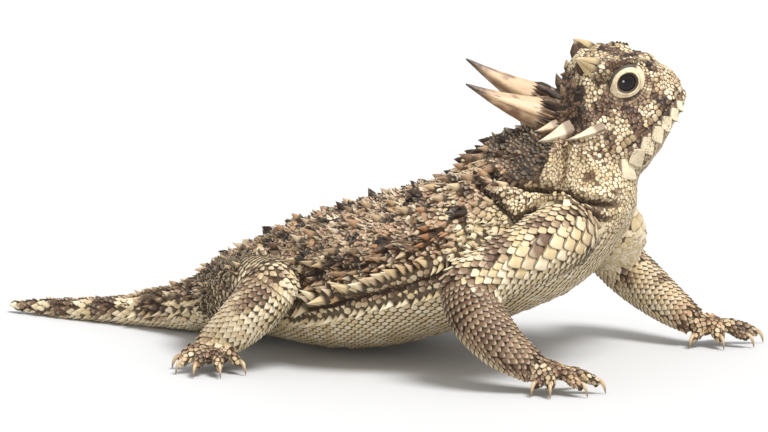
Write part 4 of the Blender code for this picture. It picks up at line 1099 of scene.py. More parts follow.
@cache
def seeds():
    """Every scale's place on the skin: ordered rows where the animal has them, and close packing between."""
    skin = body()
    rng = np.random.default_rng(4)
    rows = ordered_rows()
    owner = np.concatenate([np.full(len(places), k) for k, places in enumerate(rows)])
    rows = np.concatenate(rows)
    # Jaw, eyes, lips and belly keep their sizes, and the other rows vary a little
    rows[:, 3:5] *= np.where(owner >= 4, rng.uniform(0.88, 1.10, len(owner)), 1.0)[:, None]
    spots, faces, good = on_skin(rows[:, :3], 0.9)
    good &= skin.crease[skin.quads[faces]].max(axis=1) < 0.35
    packing, found = Packing(), []
    for spine in trunk_spines():
        packing.take(tuple(spine["root"]), spine["wide"] * 1.6 * 1.15)
    for i in np.nonzero(good)[0]:
        place, reach = tuple(spots[i]), 0.74 * min(rows[i, 3], rows[i, 4])
        if packing.free(place, reach):
            packing.take(place, reach * 1.2)
            found.append((place, faces[i], rows[i, 3], rows[i, 4], int(rows[i, 5])))
    # Close packing: random places on the faces, each with a size of its own
    corners = skin.points[skin.quads]
    area = 0.5 * np.linalg.norm(np.cross(corners[:, 2] - corners[:, 0], corners[:, 3] - corners[:, 1]), axis=1)
    picks = rng.choice(len(area), size=int(area.sum() * 9), p=area / area.sum())
    f = rng.random((len(picks), 2))
    f1, f2 = f[:, :1], f[:, 1:]
    c = corners[picks]
    places = (c[:, 0] * (1 - f1) + c[:, 1] * f1) * (1 - f2) + (c[:, 3] * (1 - f1) + c[:, 2] * f1) * f2
    first = skin.quads[picks, 0]
    size, kind = spacing(places, skin.form[first], skin.t[first], skin.v[first])
    mixed = rng.choice((0.85, 0.95, 1.05, 1.3, 1.6), size=len(size), p=(0.24, 0.32, 0.26, 0.13, 0.05))
    plates = rng.choice((0.84, 0.94, 1.06, 1.3), size=len(size), p=(0.3, 0.34, 0.26, 0.1))
    size = size * np.select([kind == BARB, kind == PLATE], [mixed, plates], rng.uniform(0.86, 1.16, len(size)))
    closed = (skin.crease[first] > 0.38) | (skin.eye_open[first] > 0.3)
    for i in np.nonzero(~closed)[0]:
        place = tuple(places[i])
        if packing.free(place, size[i] * 0.97):
            packing.take(place, size[i] * 0.97)
            found.append((place, picks[i], size[i], size[i], int(kind[i])))
    place, face, size, across, kind = (np.array(column) for column in zip(*found))
    quads = skin.quads[face]
    normal = unit(skin.normals[quads].mean(axis=1))
    lie = in_plane(skin.lie[quads].mean(axis=1), normal)
    side = np.cross(normal, lie)
    return {
        "place": place, "size": size, "across": across, "kind": kind, "normal": normal, "lie": lie, "side": side,
        "form": skin.form[quads[:, 0]], "t": skin.t[quads[:, 0]], "v": skin.v[quads[:, 0]],
        "crease": skin.crease[quads].max(axis=1), "chance": rng.random(len(place)),
        "outline": outlines(place, lie, side, size),
    }


@cache
def trunk_spines():
    """The larger spines of trunk and hips, each with its root, aim, sizes and tone."""
    rng = np.random.default_rng(9)
    spines = []

    def add(t, v, long, wide, thin, out, lean, tone, droop=0.0, form=IS_TRUNK):
        spot, _, face, reach = body().tree.find_nearest(FORMS[form].point(t, v))
        if reach > 1.0:
            return
        normal = unit(body().normals[body().quads[face]].mean(axis=0))
        back = body().lie[body().quads[face, 0]]
        aim = unit(normal * out + back * lean - np.array((0, 0, droop)))
        spines.append({"root": np.array(spot), "aim": aim, "normal": normal, "back": unit(back), "long": long,
                       "wide": wide, "thin": thin, "tone": tone, "form": form, "t": t, "v": v % 1.0})

    for t, v, long, radius in back_rows():
        crest = abs(v) < 0.07 and t > 5.4
        tone = -0.9 if crest and rng.random() < 0.75 else rng.choice((0.2, 0.45, 0.85), p=(0.35, 0.35, 0.3))
        lean = (0.55 if crest else 0.85) + rng.uniform(-0.15, 0.4)
        add(t, v, long * 0.88, radius * (0.46 if crest else 0.68), radius * 0.72, 1.0, lean, tone)
    # Smaller spines between the rows
    for _ in range(640):
        t, v = rng.uniform(4.6, 14.2), rng.uniform(-0.225, 0.225)
        grow = rng.uniform(0.5, 1.0)
        tone = -0.8 if abs(v) < 0.06 else rng.choice((-0.6, 0.2, 0.7))
        add(t, v, 1.2 * grow, 0.4 * grow, 0.46 * grow, 0.9, 0.9, tone)
    # Pale cones over the flanks
    for _ in range(150):
        t, v, grow = rng.uniform(5.3, 11.6), rng.choice((-1, 1)) * rng.uniform(0.2, 0.252), rng.uniform(0.6, 1.15)
        lean, tone = 0.8 + rng.uniform(-0.2, 0.3), rng.choice((0.85, 0.7, 0.3))
        add(t, v, 1.7 * grow, 0.62 * grow, 0.6 * grow, 0.9, lean, tone)
    # Small spines of the tail
    for _ in range(90):
        t, v = rng.uniform(1.0, 4.6), rng.uniform(-0.24, 0.24)
        add(t, v, 0.35 + 0.16 * t, 0.28 + 0.04 * t, 0.3 + 0.04 * t, 0.8, 1.1, 0.5)
    # Scattered spines over the hips
    for _ in range(60):
        t, v, grow = rng.uniform(0.6, 2.5), rng.uniform(-0.3, 0.3), rng.uniform(0.6, 1.3)
        for form in (FIRST_LIMB + 4, FIRST_LIMB + 6):
            lean, tone = -0.6 if t > 1.5 else 0.2, rng.choice((-0.5, 0.3, 0.85))
            add(t, v, 1.25 * grow, 0.42 * grow, 0.5 * grow, 0.9, lean, tone, form=form)
    for t, v, long in NECK_SPINES:
        for side in (1, -1):
            add(t, side * v, long, 0.7, 0.7, 1.0, 0.7, 0.15)
    for line, long, half, pitch in FRINGES:
        line = np.array(line)
        steps = np.linspace(line[0, 0], line[-1, 0], 80)
        turns = np.interp(steps, line[:, 0], line[:, 1])
        run = run_along(TRUNK_FORM.point(steps, turns))
        for i in range(int(run[-1] / pitch)):
            for side in (1, -1):
                t = np.interp((i + 0.5 + rng.uniform(-0.15, 0.15)) * pitch, run, steps)
                v = side * (np.interp(t, steps, turns) + rng.uniform(-0.004, 0.004))
                fade = 0.62 + 0.38 * math.sin(math.pi * (i + 0.5) * pitch / run[-1])
                grow = rng.choice((0.62, 0.8, 1.0, 1.08)) * fade
                lean = 0.55 + rng.uniform(-0.1, 0.35)
                add(t, v, long * grow, half * (0.5 + 0.5 * grow), 0.62 * grow, 1.0, lean, 0.95, droop=-0.3)
                if rng.random() < 0.6:
                    add(t + 0.06, v - side * 0.016, long * 0.45 * grow, half * 0.6, 0.4, 1.0, 0.9, 0.9, droop=-0.2)
    return spines


def ringed(sides, foot, rings, tip):
    """A closed shape over a circle of the given sides: the height of its foot, rings of height and radius, and the
    height of its tip. As arrays of points and triangles."""
    bm = bmesh.new()
    bmesh.ops.create_circle(bm, cap_ends=True, segments=sides, radius=1)
    for vert in bm.verts:
        vert.co.z = foot
    top = bm.faces[:]
    for height, radius in rings:
        grown = bmesh.ops.extrude_face_region(bm, geom=top)["geom"]
        top = [g for g in grown if isinstance(g, bmesh.types.BMFace)]
        for vert in [g for g in grown if isinstance(g, bmesh.types.BMVert)]:
            flat = Vector((vert.co.x, vert.co.y, 0)).normalized() * radius
            vert.co = (flat.x, flat.y, height)
    for vert in bmesh.ops.poke(bm, faces=top)["verts"]:
        vert.co = (0, 0, tip)
    bmesh.ops.recalc_face_normals(bm, faces=bm.faces)
    bmesh.ops.triangulate(bm, faces=bm.faces)
    bm.verts.index_update()
    points = np.array([v.co[:] for v in bm.verts])
    faces = np.array([[v.index for v in f.verts] for f in bm.faces])
    bm.free()
    return points, faces


def add_layer(mesh, name, values):
    """A colour layer from up to four numbers for each point."""
    rgba = np.ones((len(values), 4), np.float32)
    rgba[:, : values.shape[1]] = values
    mesh.attributes.new(name, "FLOAT_COLOR", "POINT").data.foreach_set("color", rgba.ravel())


def write_mesh(name, points, faces, layers, patches=None, smooth=0):
    """A mesh object from arrays in millimetres of the design, with colour layers and the map for baking. The points
    that would reach below the floor are pressed flat against it, in the array too."""
    mesh = bpy.data.meshes.new(name)
    width = faces.shape[1]
    low = points[:, 2] < FLOOR_GAP
    points[low, 2] = FLOOR_GAP * np.exp((points[low, 2] - FLOOR_GAP) / FLOOR_GAP)
    mesh.vertices.add(len(points))
    mesh.vertices.foreach_set("co", ((points + FRAME_SHIFT) * MM).astype(np.float32).ravel())
    mesh.loops.add(faces.size)
    mesh.loops.foreach_set("vertex_index", faces.astype(np.int32).ravel())
    mesh.polygons.add(len(faces))
    mesh.polygons.foreach_set("loop_start", np.arange(0, faces.size, width, dtype=np.int32))
    mesh.polygons.foreach_set("use_smooth", np.ones(len(faces), bool))
    for layer, values in layers.items():
        add_layer(mesh, layer, values)
    if patches is not None:
        uv = mesh.uv_layers.new(name="OFBake")
        uv.data.foreach_set("uv", patches[faces.ravel()].astype(np.float32).ravel())
    mesh.update(calc_edges=True)
    mesh.validate()
    if smooth:
        mesh.set_sharp_from_angle(angle=math.radians(smooth))
    obj = placed(name, mesh)
    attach(obj, "root")
    return obj


def write_copies(name, points, faces, markings, tone_and_shade, patches, smooth, material):
    """A piece of many copies of one shape. Points, tone and painted shade, and patches have a row for each copy."""
    count, number = points.shape[:2]
    all_faces = (faces[None] + (np.arange(count) * number)[:, None, None]).reshape(-1, 3)
    if len(all_faces) > MOST_TRIANGLES:
        raise RuntimeError(f"{name} has {len(all_faces)} triangles")
    layers = {"Markings": np.repeat(markings, number, axis=0), "Wear": tone_and_shade.reshape(-1, 3)}
    obj = write_mesh(name, points.reshape(-1, 3), all_faces, layers, patches.reshape(-1, 2), smooth)
    obj.data.materials.append(finish(material))


def scale_plan(s, angle, share, between):
    """How far each scale's points lie along its lie and to its side, and how much each is in a shield's lower part."""
    kind, size, across = (s[key][:, None] for key in ("kind", "size", "across"))
    cos, sin = (turned(angle * math.tau / DIRECTIONS)[None] for turned in (np.cos, np.sin))
    ahead = np.clip(cos, 0, 1)
    drawn = np.select([kind == BARB, kind == SQUARE], [ahead**2 * 0.42, 0.25 * ahead], 0)
    radial = s["outline"][:, angle] * FILL[kind]
    x, y = radial * cos * (1 + drawn), radial * sin
    # Overlapping scales have a pointed outline of their own, drawn out towards the tip
    tip = np.where(cos > 0, np.abs(cos) ** 1.6, -np.abs(cos) * 0.72)
    x = np.where(kind == LEAF, size * 0.94 * tip, x)
    y = np.where(kind == LEAF, across * 0.60 * sin * (1 - 0.25 * ahead), y)
    # Shields have four corners, the lower one drawn out
    lower = np.clip(-sin * np.sign(s["side"][:, 2:]), 0, 1)
    corner = (np.abs(cos) ** 1.12 + np.abs(sin) ** 1.12) ** (-1 / 1.12)
    x = np.where(kind == SHIELD, size * 0.68 * corner * cos + size * 0.14 * lower, x)
    y = np.where(kind == SHIELD, across * 0.74 * corner * sin * (1 + 0.3 * lower), y)
    shares = np.where((kind == SHIELD) & between, 0.9, share[None])
    return x * shares, y * shares, lower


def scale_heights(s, x, y, reach, lower, share, level, top):
    """Heights over the skin, ring by ring: the sunk foot, the edge, the shoulder and the crown of the scale."""
    kind, size, across, chance = (s[key][:, None] for key in ("kind", "size", "across", "chance"))
    leaf, above = kind == LEAF, level > 0
    thick = THICKNESS[kind] * np.clip(size, 0.4, 1.8) ** 0.8
    z = thick * np.select([level == 0, level == 1, level == top], [-1.6, EDGE_HEIGHT[kind], 1.0], 0.9)
    keel = bell(y, 0.22 * across) * above
    z = z + np.where(leaf, keel * thick * (0.55 + 0.45 * reach), 0)
    ridge = keel * thick * np.clip(0.75 + 0.95 * reach, 0, 2.2) * (0.5 + 1.1 * chance)
    z = z + np.where(kind == BARB, ridge, 0)
    z = z + np.where(kind == PLATE, thick * 0.55 * (1 - share[None]) * above, 0)
    lifts = [np.where(size > 1.5, 0.08, 0.16) + 0.08 * chance, 0.15 + 0.17 * chance, 0.10]
    lift = np.select([leaf, kind == BARB, kind == SQUARE], lifts, 0.02) * np.where(above, 1.0, 0.55)
    z = z + lift * x + np.where(leaf, 0.05, 0.0) + np.where(kind == SHIELD, 0.16 * np.abs(y) * lower, 0)
    return np.where(~above & leaf & (x > 0), z + 0.15 * thick, z)


def grow_scales(name, pick, sides=DIRECTIONS, levels=(1.0, 0.76), material="scales"):
    """Solid scales on the picked seeds, each shaped by its kind, its neighbours and its lie."""
    if not len(pick):
        return
    s = {key: values[pick] for key, values in seeds().items()}
    top = len(levels) + 1
    shape, faces = ringed(sides, 0, list(enumerate(levels, start=1)), top)
    share, level = np.hypot(shape[:, 0], shape[:, 1]), shape[:, 2].astype(int)
    angle = np.round(np.arctan2(shape[:, 1], shape[:, 0]) / (math.tau / DIRECTIONS)).astype(int) % DIRECTIONS
    x, y, lower = scale_plan(s, angle, share, (level > 1) & (level < top))
    reach = x / np.maximum(s["size"][:, None] * 0.6, 0.1)
    z = scale_heights(s, x, y, reach, lower, share, level, top)
    points = (s["place"][:, None] + s["lie"][:, None] * x[..., None] + s["side"][:, None] * y[..., None]
              + s["normal"][:, None] * z[..., None])
    shield = s["kind"] == SHIELD
    markings = marks(s["place"], s["form"], s["t"], s["v"])
    markings[shield] = (0, 1, 0, 0)
    # Painted shade: scales in folds and hollows are darkened
    fold = ramp(s["crease"], 0.14, 0.5)
    markings[:, 3] = np.maximum(markings[:, 3], 0.9 * fold)
    markings[:, 0] = np.maximum(markings[:, 0], np.where(s["form"] == IS_HEAD, 0.1, 0.65) * fold)
    chance = np.where(shield, 0.7 + 0.3 * s["chance"], s["chance"])
    # The height also carries painted shade: the material darkens each scale towards its foot and edge
    height = np.select([level == 0, level == 1], [0.0, 0.3], 1.0)
    tips = np.clip(0.5 + 0.5 * reach, 0, 1) * (level > 0)
    tone_and_shade = np.stack(np.broadcast_arrays(tips, chance[:, None], height[None]), -1)
    around = np.stack([share * np.cos(angle * math.tau / DIRECTIONS), share * np.sin(angle * math.tau / DIRECTIONS)],
                      -1)
    patches = unwrap(s["form"], s["t"], s["v"])[:, None] + 0.0015 * around[None]
    write_copies(name, points, faces, markings, tone_and_shade, patches, 48, material)


def grow_spines(name, spines, material="scales"):
    """Solid curved spines, each with its root, its aim, the skin's normal and lie there, and its sizes and tone."""
    shape, faces = ringed(8, -0.3, ((0.0, 1.0), (0.18, 0.72), (0.42, 0.48), (0.7, 0.25)), 1)
    keys = ("root", "aim", "normal", "back", "long", "wide", "thin", "tone", "t", "v")
    root, aim, normal, back, long, wide, thin, tone, t, v = (np.array([s[key] for s in spines], float) for key in keys)
    full = np.array([s.get("full", 1.0) for s in spines])[:, None]
    form = np.array([s["form"] for s in spines], int)
    along = in_plane(back, normal)
    across = unit(np.cross(normal, along))
    front = unit(np.cross(across, aim))
    height = shape[:, 2]
    bow = 0.22 * height * (1 - height) * long[:, None]
    share = np.hypot(shape[:, 0], shape[:, 1])
    keel = 1 + 0.35 * (np.abs(shape[:, 0]) > 0.98 * share) * (height > 0)
    # Blunt spines keep their width further up
    stout = np.maximum(share, 0.01)[None] ** (full - 1)
    points = (root[:, None] + aim[:, None] * (height[None, :, None] * long[:, None, None])
              + normal[:, None] * bow[..., None]
              + across[:, None] * (shape[None, :, 1] * stout * wide[:, None])[..., None]
              + front[:, None] * (shape[None, :, 0] * stout * keel * thin[:, None])[..., None])
    markings = marks(root, form, t, v)
    pale, shade = np.clip(tone, 0, 1), np.clip(-tone, 0, 1)
    markings[:, 1] = np.maximum(markings[:, 1], pale) * (1 - shade)
    markings[:, 0] = np.maximum(markings[:, 0] * (1 - 0.85 * pale), 0.8 * shade)
    markings[:, 3] = np.maximum(markings[:, 3] * (1 - 0.8 * pale), shade)
    chance = np.random.default_rng(3).random(len(spines))
    # The rise also carries painted shade: the material darkens each spine towards its foot
    tips, rise = np.clip(height, 0, 1), 0.12 + 0.88 * np.clip(height * 3.2, 0, 1)
    tone_and_shade = np.stack(np.broadcast_arrays(tips[None], chance[:, None], rise[None]), -1)
    patches = unwrap(form, t, v)[:, None] + 0.0015 * shape[None, :, :2]
    write_copies(name, points, faces, markings, tone_and_shade, patches, 50, material)


def head_spine_list():
    """Spines and pointed scales of the head: brow, crown, temples and the feet of the long horns."""
    spines = []

    def add(base, tip, wide, thin, tone, sides=(1, -1), full=1.0):
        skin = body()
        for side in sides:
            b, e = (from_head(np.array(place, float) * (1, side, 1)) for place in (base, tip))
            spot, _, face, _ = skin.tree.find_nearest(b)
            quad = skin.quads[face]
            normal = unit(skin.normals[quad].mean(axis=0))
            root = np.array(spot) - normal * 0.1
            spines.append({"root": root, "aim": unit(e - root), "normal": normal,
                           "back": HEAD_TURN @ np.array((-1.0, 0, 0)), "long": float(np.linalg.norm(e - root)),
                           "wide": wide, "thin": thin, "tone": tone, "full": full, "form": int(skin.form[quad[0]]),
                           "t": skin.t[quad[0]], "v": skin.v[quad[0]]})

    for side in (1, -1):
        for x, y, z, tone in BROW_RIBS:
            add((x, y, z), BROW_TIPS[side], 0.55, 0.85, tone, (side,), full=0.8)
        x, y, z = BROW_TIPS[side]
        # The two inner ribs are dark: painted shade on the inner face of the brow's plate
        for foot in (9.6, 10.8):
            add((foot, y - 1.3, 10.6), (x + 0.1, y - 0.4, z - 0.35), 0.5, 0.9, -0.75, (side,), full=0.8)
    add((4.9, 4.4, 8.7), (5.2, 4.5, 10.9), 0.6, 0.75, 0.5)
    add((7.2, 7.2, 9.9), (7.6, 6.8, 11.5), 0.55, 0.75, 0.5)
    # A collar of narrow scales round the foot of each long horn
    for side, (base, tip, radius) in OCCIPITAL_HORNS.items():
        base, tip = (from_head(np.array(place) * (1, side, 1)) for place in (base, tip))
        axis = unit(tip - base)
        first = unit(np.cross(axis, (0, 0, 1.0)))
        second = np.cross(axis, first)
        for i in range(22):
            out = first * math.cos(math.tau * i / 22) + second * math.sin(math.tau * i / 22)
            spines.append({"root": base + out * radius * 0.98 - axis * 0.6, "aim": unit(axis - out * 0.02),
                           "normal": out, "back": axis, "long": 2.9 + 0.25 * math.sin(i * 2.4), "wide": 0.40,
                           "thin": 0.42, "full": 0.4, "tone": (0.55, -0.3, 0.3)[i % 3], "form": IS_HEAD, "t": 1.6,
                           "v": 0.95 if side < 0 else 0.05})
    for x, y, z, rise in BROW_SCALES:
        add((x, y, z - 0.4), (x - 0.9, y + 0.5, z + rise + 0.2), 0.7, 0.8, 0.5)
    for x, y, z, long in CROWN_SPINES:
        add((x, y, z), (x - long * 0.75, y + 0.5, z + long * 0.72), 0.55, 0.62, 0.35)
    add((3.6, 0.3, 8.2), (2.1, 0.15, 11.2), 0.8, 0.8, 0.3)
    return spines


def tapered(points, sides=28, rows=40, ridge=0.0, seed=1, flat=1.0, keel=0.0):
    """A closed tube along points of place and radius, with faint rings and ridges."""
    form = Limb(points)
    v = np.arange(sides) / sides
    centre, radius, _, side, up = form.axes(np.linspace(0, form.last, rows))
    rng = np.random.default_rng(seed)
    waves = 0.5 * np.sin(np.cumsum(rng.uniform(0.5, 1.4, rows)))[:, None] * 0.6
    ribs = 0.6 * np.sin(v * math.tau * 9 + rng.uniform(0, 6))[None] * np.sin(np.linspace(0.3, 2.8, rows))[:, None]
    # A keel makes the section a diamond
    wedge = (1.25 / (abs(np.cos(math.tau * v)) + abs(np.sin(math.tau * v)))) ** keel
    reach = radius[:, None] * (1 + ridge * (waves + ribs)) * wedge[None]
    return lofted(centre[:, None] + side[:, None] * (reach * flat * np.sin(math.tau * v))[..., None]
                  + up[:, None] * (reach * np.cos(math.tau * v))[..., None])


# The lids from the gap between them outwards: share of the way out, height over the eye's middle, and darkness
LID_SECTION = (
    (0.0, 2.55, 1.0), (0.0, 3.02, 1.0), (0.06, 3.24, 0.9), (0.16, 3.38, 0.15), (0.28, 3.46, 0.0), (0.38, 3.36, 2.0),
    (0.48, 3.48, 0.0), (0.66, 3.52, 0.0), (0.80, 3.45, 0.1), (0.90, 3.34, 3.0), (1.04, 3.46, 3.0), (1.2, 3.48, 3.0),
    (1.42, 3.3, 3.0), (1.5, 2.7, 1.0),
)
# Two of the darknesses aren't amounts: one marks the crescent below the pupil, the other the rim that is dark above and
# darkened by painted shade towards the rear below
CRESCENT, RIM = 2.0, 3.0
LID_SIDES = 72


def lids(side):
    """Both lids of an eye as one ring from the gap between them out to the skin, and the shading of its rims."""
    centre, look, up, along = eye_axes(side)
    turns = np.arange(LID_SIDES) / LID_SIDES * math.tau
    cos, sin = np.cos(turns), np.sin(turns)
    rings, tone = [], []
    for share, height, dark in LID_SECTION:
        wide, tall = (opening + (reach - opening) * share for opening, reach in zip(EYE_OPENING, LID_REACH))
        # The rear corner is drawn out and down a little
        rear = np.clip(-cos, 0, 1) ** 3 * share
        a = wide * cos * (1 + 0.20 * rear)
        b = tall * sin * (1 - 0.30 * rear) - 0.10 * rear
        front = np.sqrt(np.maximum(1 - a * a - b * b, 0.02))
        ahead = unit(along[None] * a[:, None] + up[None] * b[:, None] + look[None] * front[:, None])
        rings.append(centre + ahead * height)
        front_low = ramp(cos - sin, 0.2, 1.0)
        # The rim is dark above, and painted shade darkens it towards the rear below
        brow_rear = np.maximum(ramp(sin, 0.2, 0.7), ramp(-cos - 1.4 * sin, 0.5, 1.2))
        tone.append(np.select([dark == CRESCENT, dark == RIM], [0.8 * front_low, 0.2 + 0.8 * brow_rear],
                              dark + 0 * turns))
    grid = np.array(rings)
    bm = bmesh.new()
    bmesh.ops.create_grid(bm, x_segments=LID_SIDES, y_segments=len(grid), size=1)
    bm.verts.ensure_lookup_table()
    for i, vert in enumerate(bm.verts):
        vert.co = grid[(i // (LID_SIDES + 1)) % len(grid), i % (LID_SIDES + 1) % LID_SIDES]
    bmesh.ops.remove_doubles(bm, verts=bm.verts, dist=1e-6)
    tree, tone = tree_of(grid.reshape(-1, 3)), np.concatenate(tone)
    return bm, lambda p: np.stack([tone[[tree.find(q)[1] for q in p]], 0 * p[:, 0], 0 * p[:, 0]], -1)


def horn_piece(name, spec, side, seed):
    """A horn from its base, tip, radius, flatness and whiteness. Its shading holds how far along it a point lies, its
    streaks together with painted shade on its underside, and its whiteness."""
    base, tip, radius, flat, white = spec
    base, tip = np.array(base) * (1, side, 1), np.array(tip) * (1, side, 1)
    axis = tip - base
    bow = np.array((0, 0, 1.0)) * np.linalg.norm(axis) * (0.02 if white else 0.045)
    stages = ((-0.25, 1.0), (0.0, 1.08), (0.12, 1.0), (0.3, 0.82), (0.65, 0.45), (1.0, 0.05))
    if white:
        stages = ((-0.25, 1.0), (0.0, 1.0), (0.15, 0.86), (0.4, 0.60), (0.7, 0.30), (1.0, 0.04))
    points = [(*from_head(base + axis * f - bow * 4 * f * (1 - f)), radius * r) for f, r in stages]
    ridge, keel = (0.015, 0.9) if white else (0.03, 0.5)
    bm = tapered(points, sides=32, rows=56, ridge=ridge, seed=seed, keel=keel, flat=flat)
    start, end = np.array(points[1][:3]), np.array(points[-1][:3])
    length = np.linalg.norm(end - start)
    ahead = (end - start) / length
    across = unit(np.cross(ahead, (0, 0, 1.0)))
    above = np.cross(across, ahead)

    def shade(p):
        along = (p - start) @ ahead / length
        turned = np.arctan2((p - start) @ across, (p - start) @ above + 0.25 * radius)
        # Painted shade: the underside of each horn is darker
        under = ramp(-np.cos(turned), -0.45, 0.6)
        waves = np.sin(turned * 6 + seed + 1.2 * drift(p, 1.6, seed)) + 0.5 * np.sin(turned * 11 + 2.0 * seed)
        lines = 0.65 * ramp(waves, 0.5, 1.2) * ramp(along, 0.02, 0.2)
        upper = (1 - white) * ramp(np.cos(turned), 0.2, 0.9) * ramp(along, 0.25, 0.7)
        streak_and_shade = np.clip(0.75 * under + 0.6 * upper + lines + 0.3 * drift(p, 0.7, seed), 0, 1)
        return np.stack([np.clip(along, 0, 1), streak_and_shade, white + 0 * along], -1)

    return solid_piece(name, bm, shade, "horn")


def solid_piece(name, bm, shade, material):
    """A finished piece from a bmesh in millimetres, with its shading worked out from its points."""
    mesh = bpy.data.meshes.new(name)
    points = np.array([v.co[:] for v in bm.verts])
    bm.transform(Matrix.Scale(MM, 4) @ Matrix.Translation(Vector(FRAME_SHIFT)))
    bmesh.ops.recalc_face_normals(bm, faces=bm.faces)
    for face in bm.faces:
        face.smooth = True
    bm.to_mesh(mesh)
    bm.free()
    add_layer(mesh, "Wear", shade(points))
    obj = placed(name, mesh)
    obj.data.materials.append(finish(material))
    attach(obj, "root")
    return obj


class Value:
    """A socket of numbers that takes part in plain arithmetic."""

    def __init__(self, board, socket):
        self.board, self.socket = board, socket

    def _with(self, operation, *others):
        node = self.board.node("ShaderNodeMath", {"operation": operation}, *others)
        return Value(self.board, node.outputs[0])

    def __add__(self, other):
        return self._with("ADD", self, other)

    def __radd__(self, other):
        return self._with("ADD", other, self)

    def __sub__(self, other):
        return self._with("SUBTRACT", self, other)

    def __rsub__(self, other):
        return self._with("SUBTRACT", other, self)

    def __mul__(self, other):
        return self._with("MULTIPLY", self, other)

    def __rmul__(self, other):
        return self._with("MULTIPLY", other, self)

    def __truediv__(self, other):
        return self._with("DIVIDE", self, other)

    def __rtruediv__(self, other):
        return self._with("DIVIDE", other, self)

    def __pow__(self, other):
        return self._with("POWER", self, other)

    def __neg__(self):
        return self._with("MULTIPLY", self, -1.0)

    def most(self, other):
        return self._with("MAXIMUM", self, other)

    def between(self, low, high):
        """0 below low, 1 above high, and a smooth step from one to the other."""
        node = self.board.node("ShaderNodeMapRange", {"interpolation_type": "SMOOTHSTEP"}, self, low, high, 0.0, 1.0)
        return Value(self.board, node.outputs[0])


class Board:
    """A material's nodes."""

    def __init__(self, name):
        self.material = bpy.data.materials.new(name)
        self.material.use_nodes = True
        self.tree = self.material.node_tree
        self.shader = next(n for n in self.tree.nodes if n.type == "BSDF_PRINCIPLED")

    def node(self, kind, settings=None, *inputs, **named):
        """A node of the given type, its settings set first, then the values or links of its sockets."""
        node = self.tree.nodes.new(kind)
        for key, value in (settings or {}).items():
            if key == "stops":
                while len(node.color_ramp.elements) < len(value):
                    node.color_ramp.elements.new(0.5)
                for element, (place, colour) in zip(node.color_ramp.elements, value):
                    element.position, element.color = place, colour
            else:
                setattr(node, key, value)
        for socket, value in [*zip(node.inputs, inputs), *((node.inputs[key], value) for key, value in named.items())]:
            self.feed(socket, value)
        return node

    def feed(self, socket, value):
        if isinstance(value, Value):
            self.tree.links.new(value.socket, socket)
        elif value is not None:
            socket.default_value = value

    def mix(self, a, b, amount):
        """Colour a turning to colour b by the amount."""
        node = self.node("ShaderNodeMix", {"data_type": "RGBA", "clamp_factor": True})
        for socket, value in ((0, amount), (6, a), (7, b)):
            self.feed(node.inputs[socket], value)
        return Value(self, node.outputs[2])

    def layer(self, name):
        """The four numbers of a colour layer."""
        node = self.node("ShaderNodeAttribute", {"attribute_type": "GEOMETRY", "attribute_name": name})
        parts = self.node("ShaderNodeSeparateColor", None, Value(self, node.outputs["Color"]))
        return [*(Value(self, parts.outputs[k]) for k in range(3)), Value(self, node.outputs["Alpha"])]

    def place(self):
        return Value(self, self.node("ShaderNodeTexCoord").outputs["Object"])

    def noise(self, scale, detail=3.0, rough=0.55, stretch=None):
        where = self.place()
        if stretch:
            where = Value(self, self.node("ShaderNodeMapping", None, where, (0, 0, 0), (0, 0, 0), stretch).outputs[0])
        node = self.node("ShaderNodeTexNoise", None, Vector=where, Scale=scale, Detail=detail, Roughness=rough)
        return Value(self, node.outputs[0])

    def cells(self, scale, feature="F1"):
        node = self.node("ShaderNodeTexVoronoi", {"feature": feature}, Vector=self.place(), Scale=scale)
        return Value(self, node.outputs["Distance"])

    def bump(self, height, strength, distance):
        node = self.node("ShaderNodeBump", None, Strength=strength, Distance=distance, Height=height)
        return Value(self, node.outputs[0])

    def surface(self, colour, roughness, bump=None, coat=0.0, coat_rough=0.1, level=0.5):
        self.feed(self.shader.inputs["Base Color"], colour)
        self.feed(self.shader.inputs["Roughness"], roughness)
        self.shader.inputs["Coat Weight"].default_value = coat
        self.shader.inputs["Coat Roughness"].default_value = coat_rough
        self.shader.inputs["Specular IOR Level"].default_value = level
        if bump is not None:
            self.feed(self.shader.inputs["Normal"], bump)
        return self.material


def rgb(colour):
    return (*colour[:3], 1.0)


def coat_colour(board, tip, chance, shade, gap):
    """The colour that skin and scales share, from the markings and each scale's own tone, drawn towards the gap colour
    by painted shade. With it come the fine noise and the pale amount that it's made of."""
    look = bpy.context.scene.lizard
    dark, pale, warm, brown = board.layer("Markings")
    fine = board.noise(2600.0, 4.0)
    broad = board.noise(260.0, 3.0)
    earth = board.mix(rgb(look.tan), rgb(look.russet), warm * (0.35 + 0.6 * broad))
    earth = board.mix(earth, rgb(look.bone), (chance - 0.74).between(0.0, 0.2) * 0.55)
    cream = board.mix(rgb(look.cream), rgb(look.bone), (chance * 0.8 + 0.3 * tip).between(0.25, 0.95))
    cream = board.mix(cream, rgb(look.straw), (broad - 0.42) * 1.7)
    cream = board.mix(cream, rgb(look.toe), warm)
    base = board.mix(earth, cream, pale)
    base = board.mix(base, rgb(look.umber), brown.between(0.0, 0.5) * 0.7)
    base = board.mix(base, rgb(look.brown),
                     (brown * (0.8 + 0.75 * (fine + 0.6 * chance - 0.5))).between(0.15, 0.85) * 0.94)
    base = board.mix(base, rgb(look.dark), (dark * (0.75 + 0.6 * (fine - 0.3))).between(0.14, 0.84))
    base = board.mix(base, rgb(look.bone), (tip - 0.62).between(0.0, 0.34) * 0.65 * (1 - dark * 0.7) * (1 - pale * 0.5))
    base = board.mix(base, rgb(look.brown), (fine - 0.52) * 1.0 * (1 - pale * 0.5))
    return board.mix(base, gap, shade), fine, pale


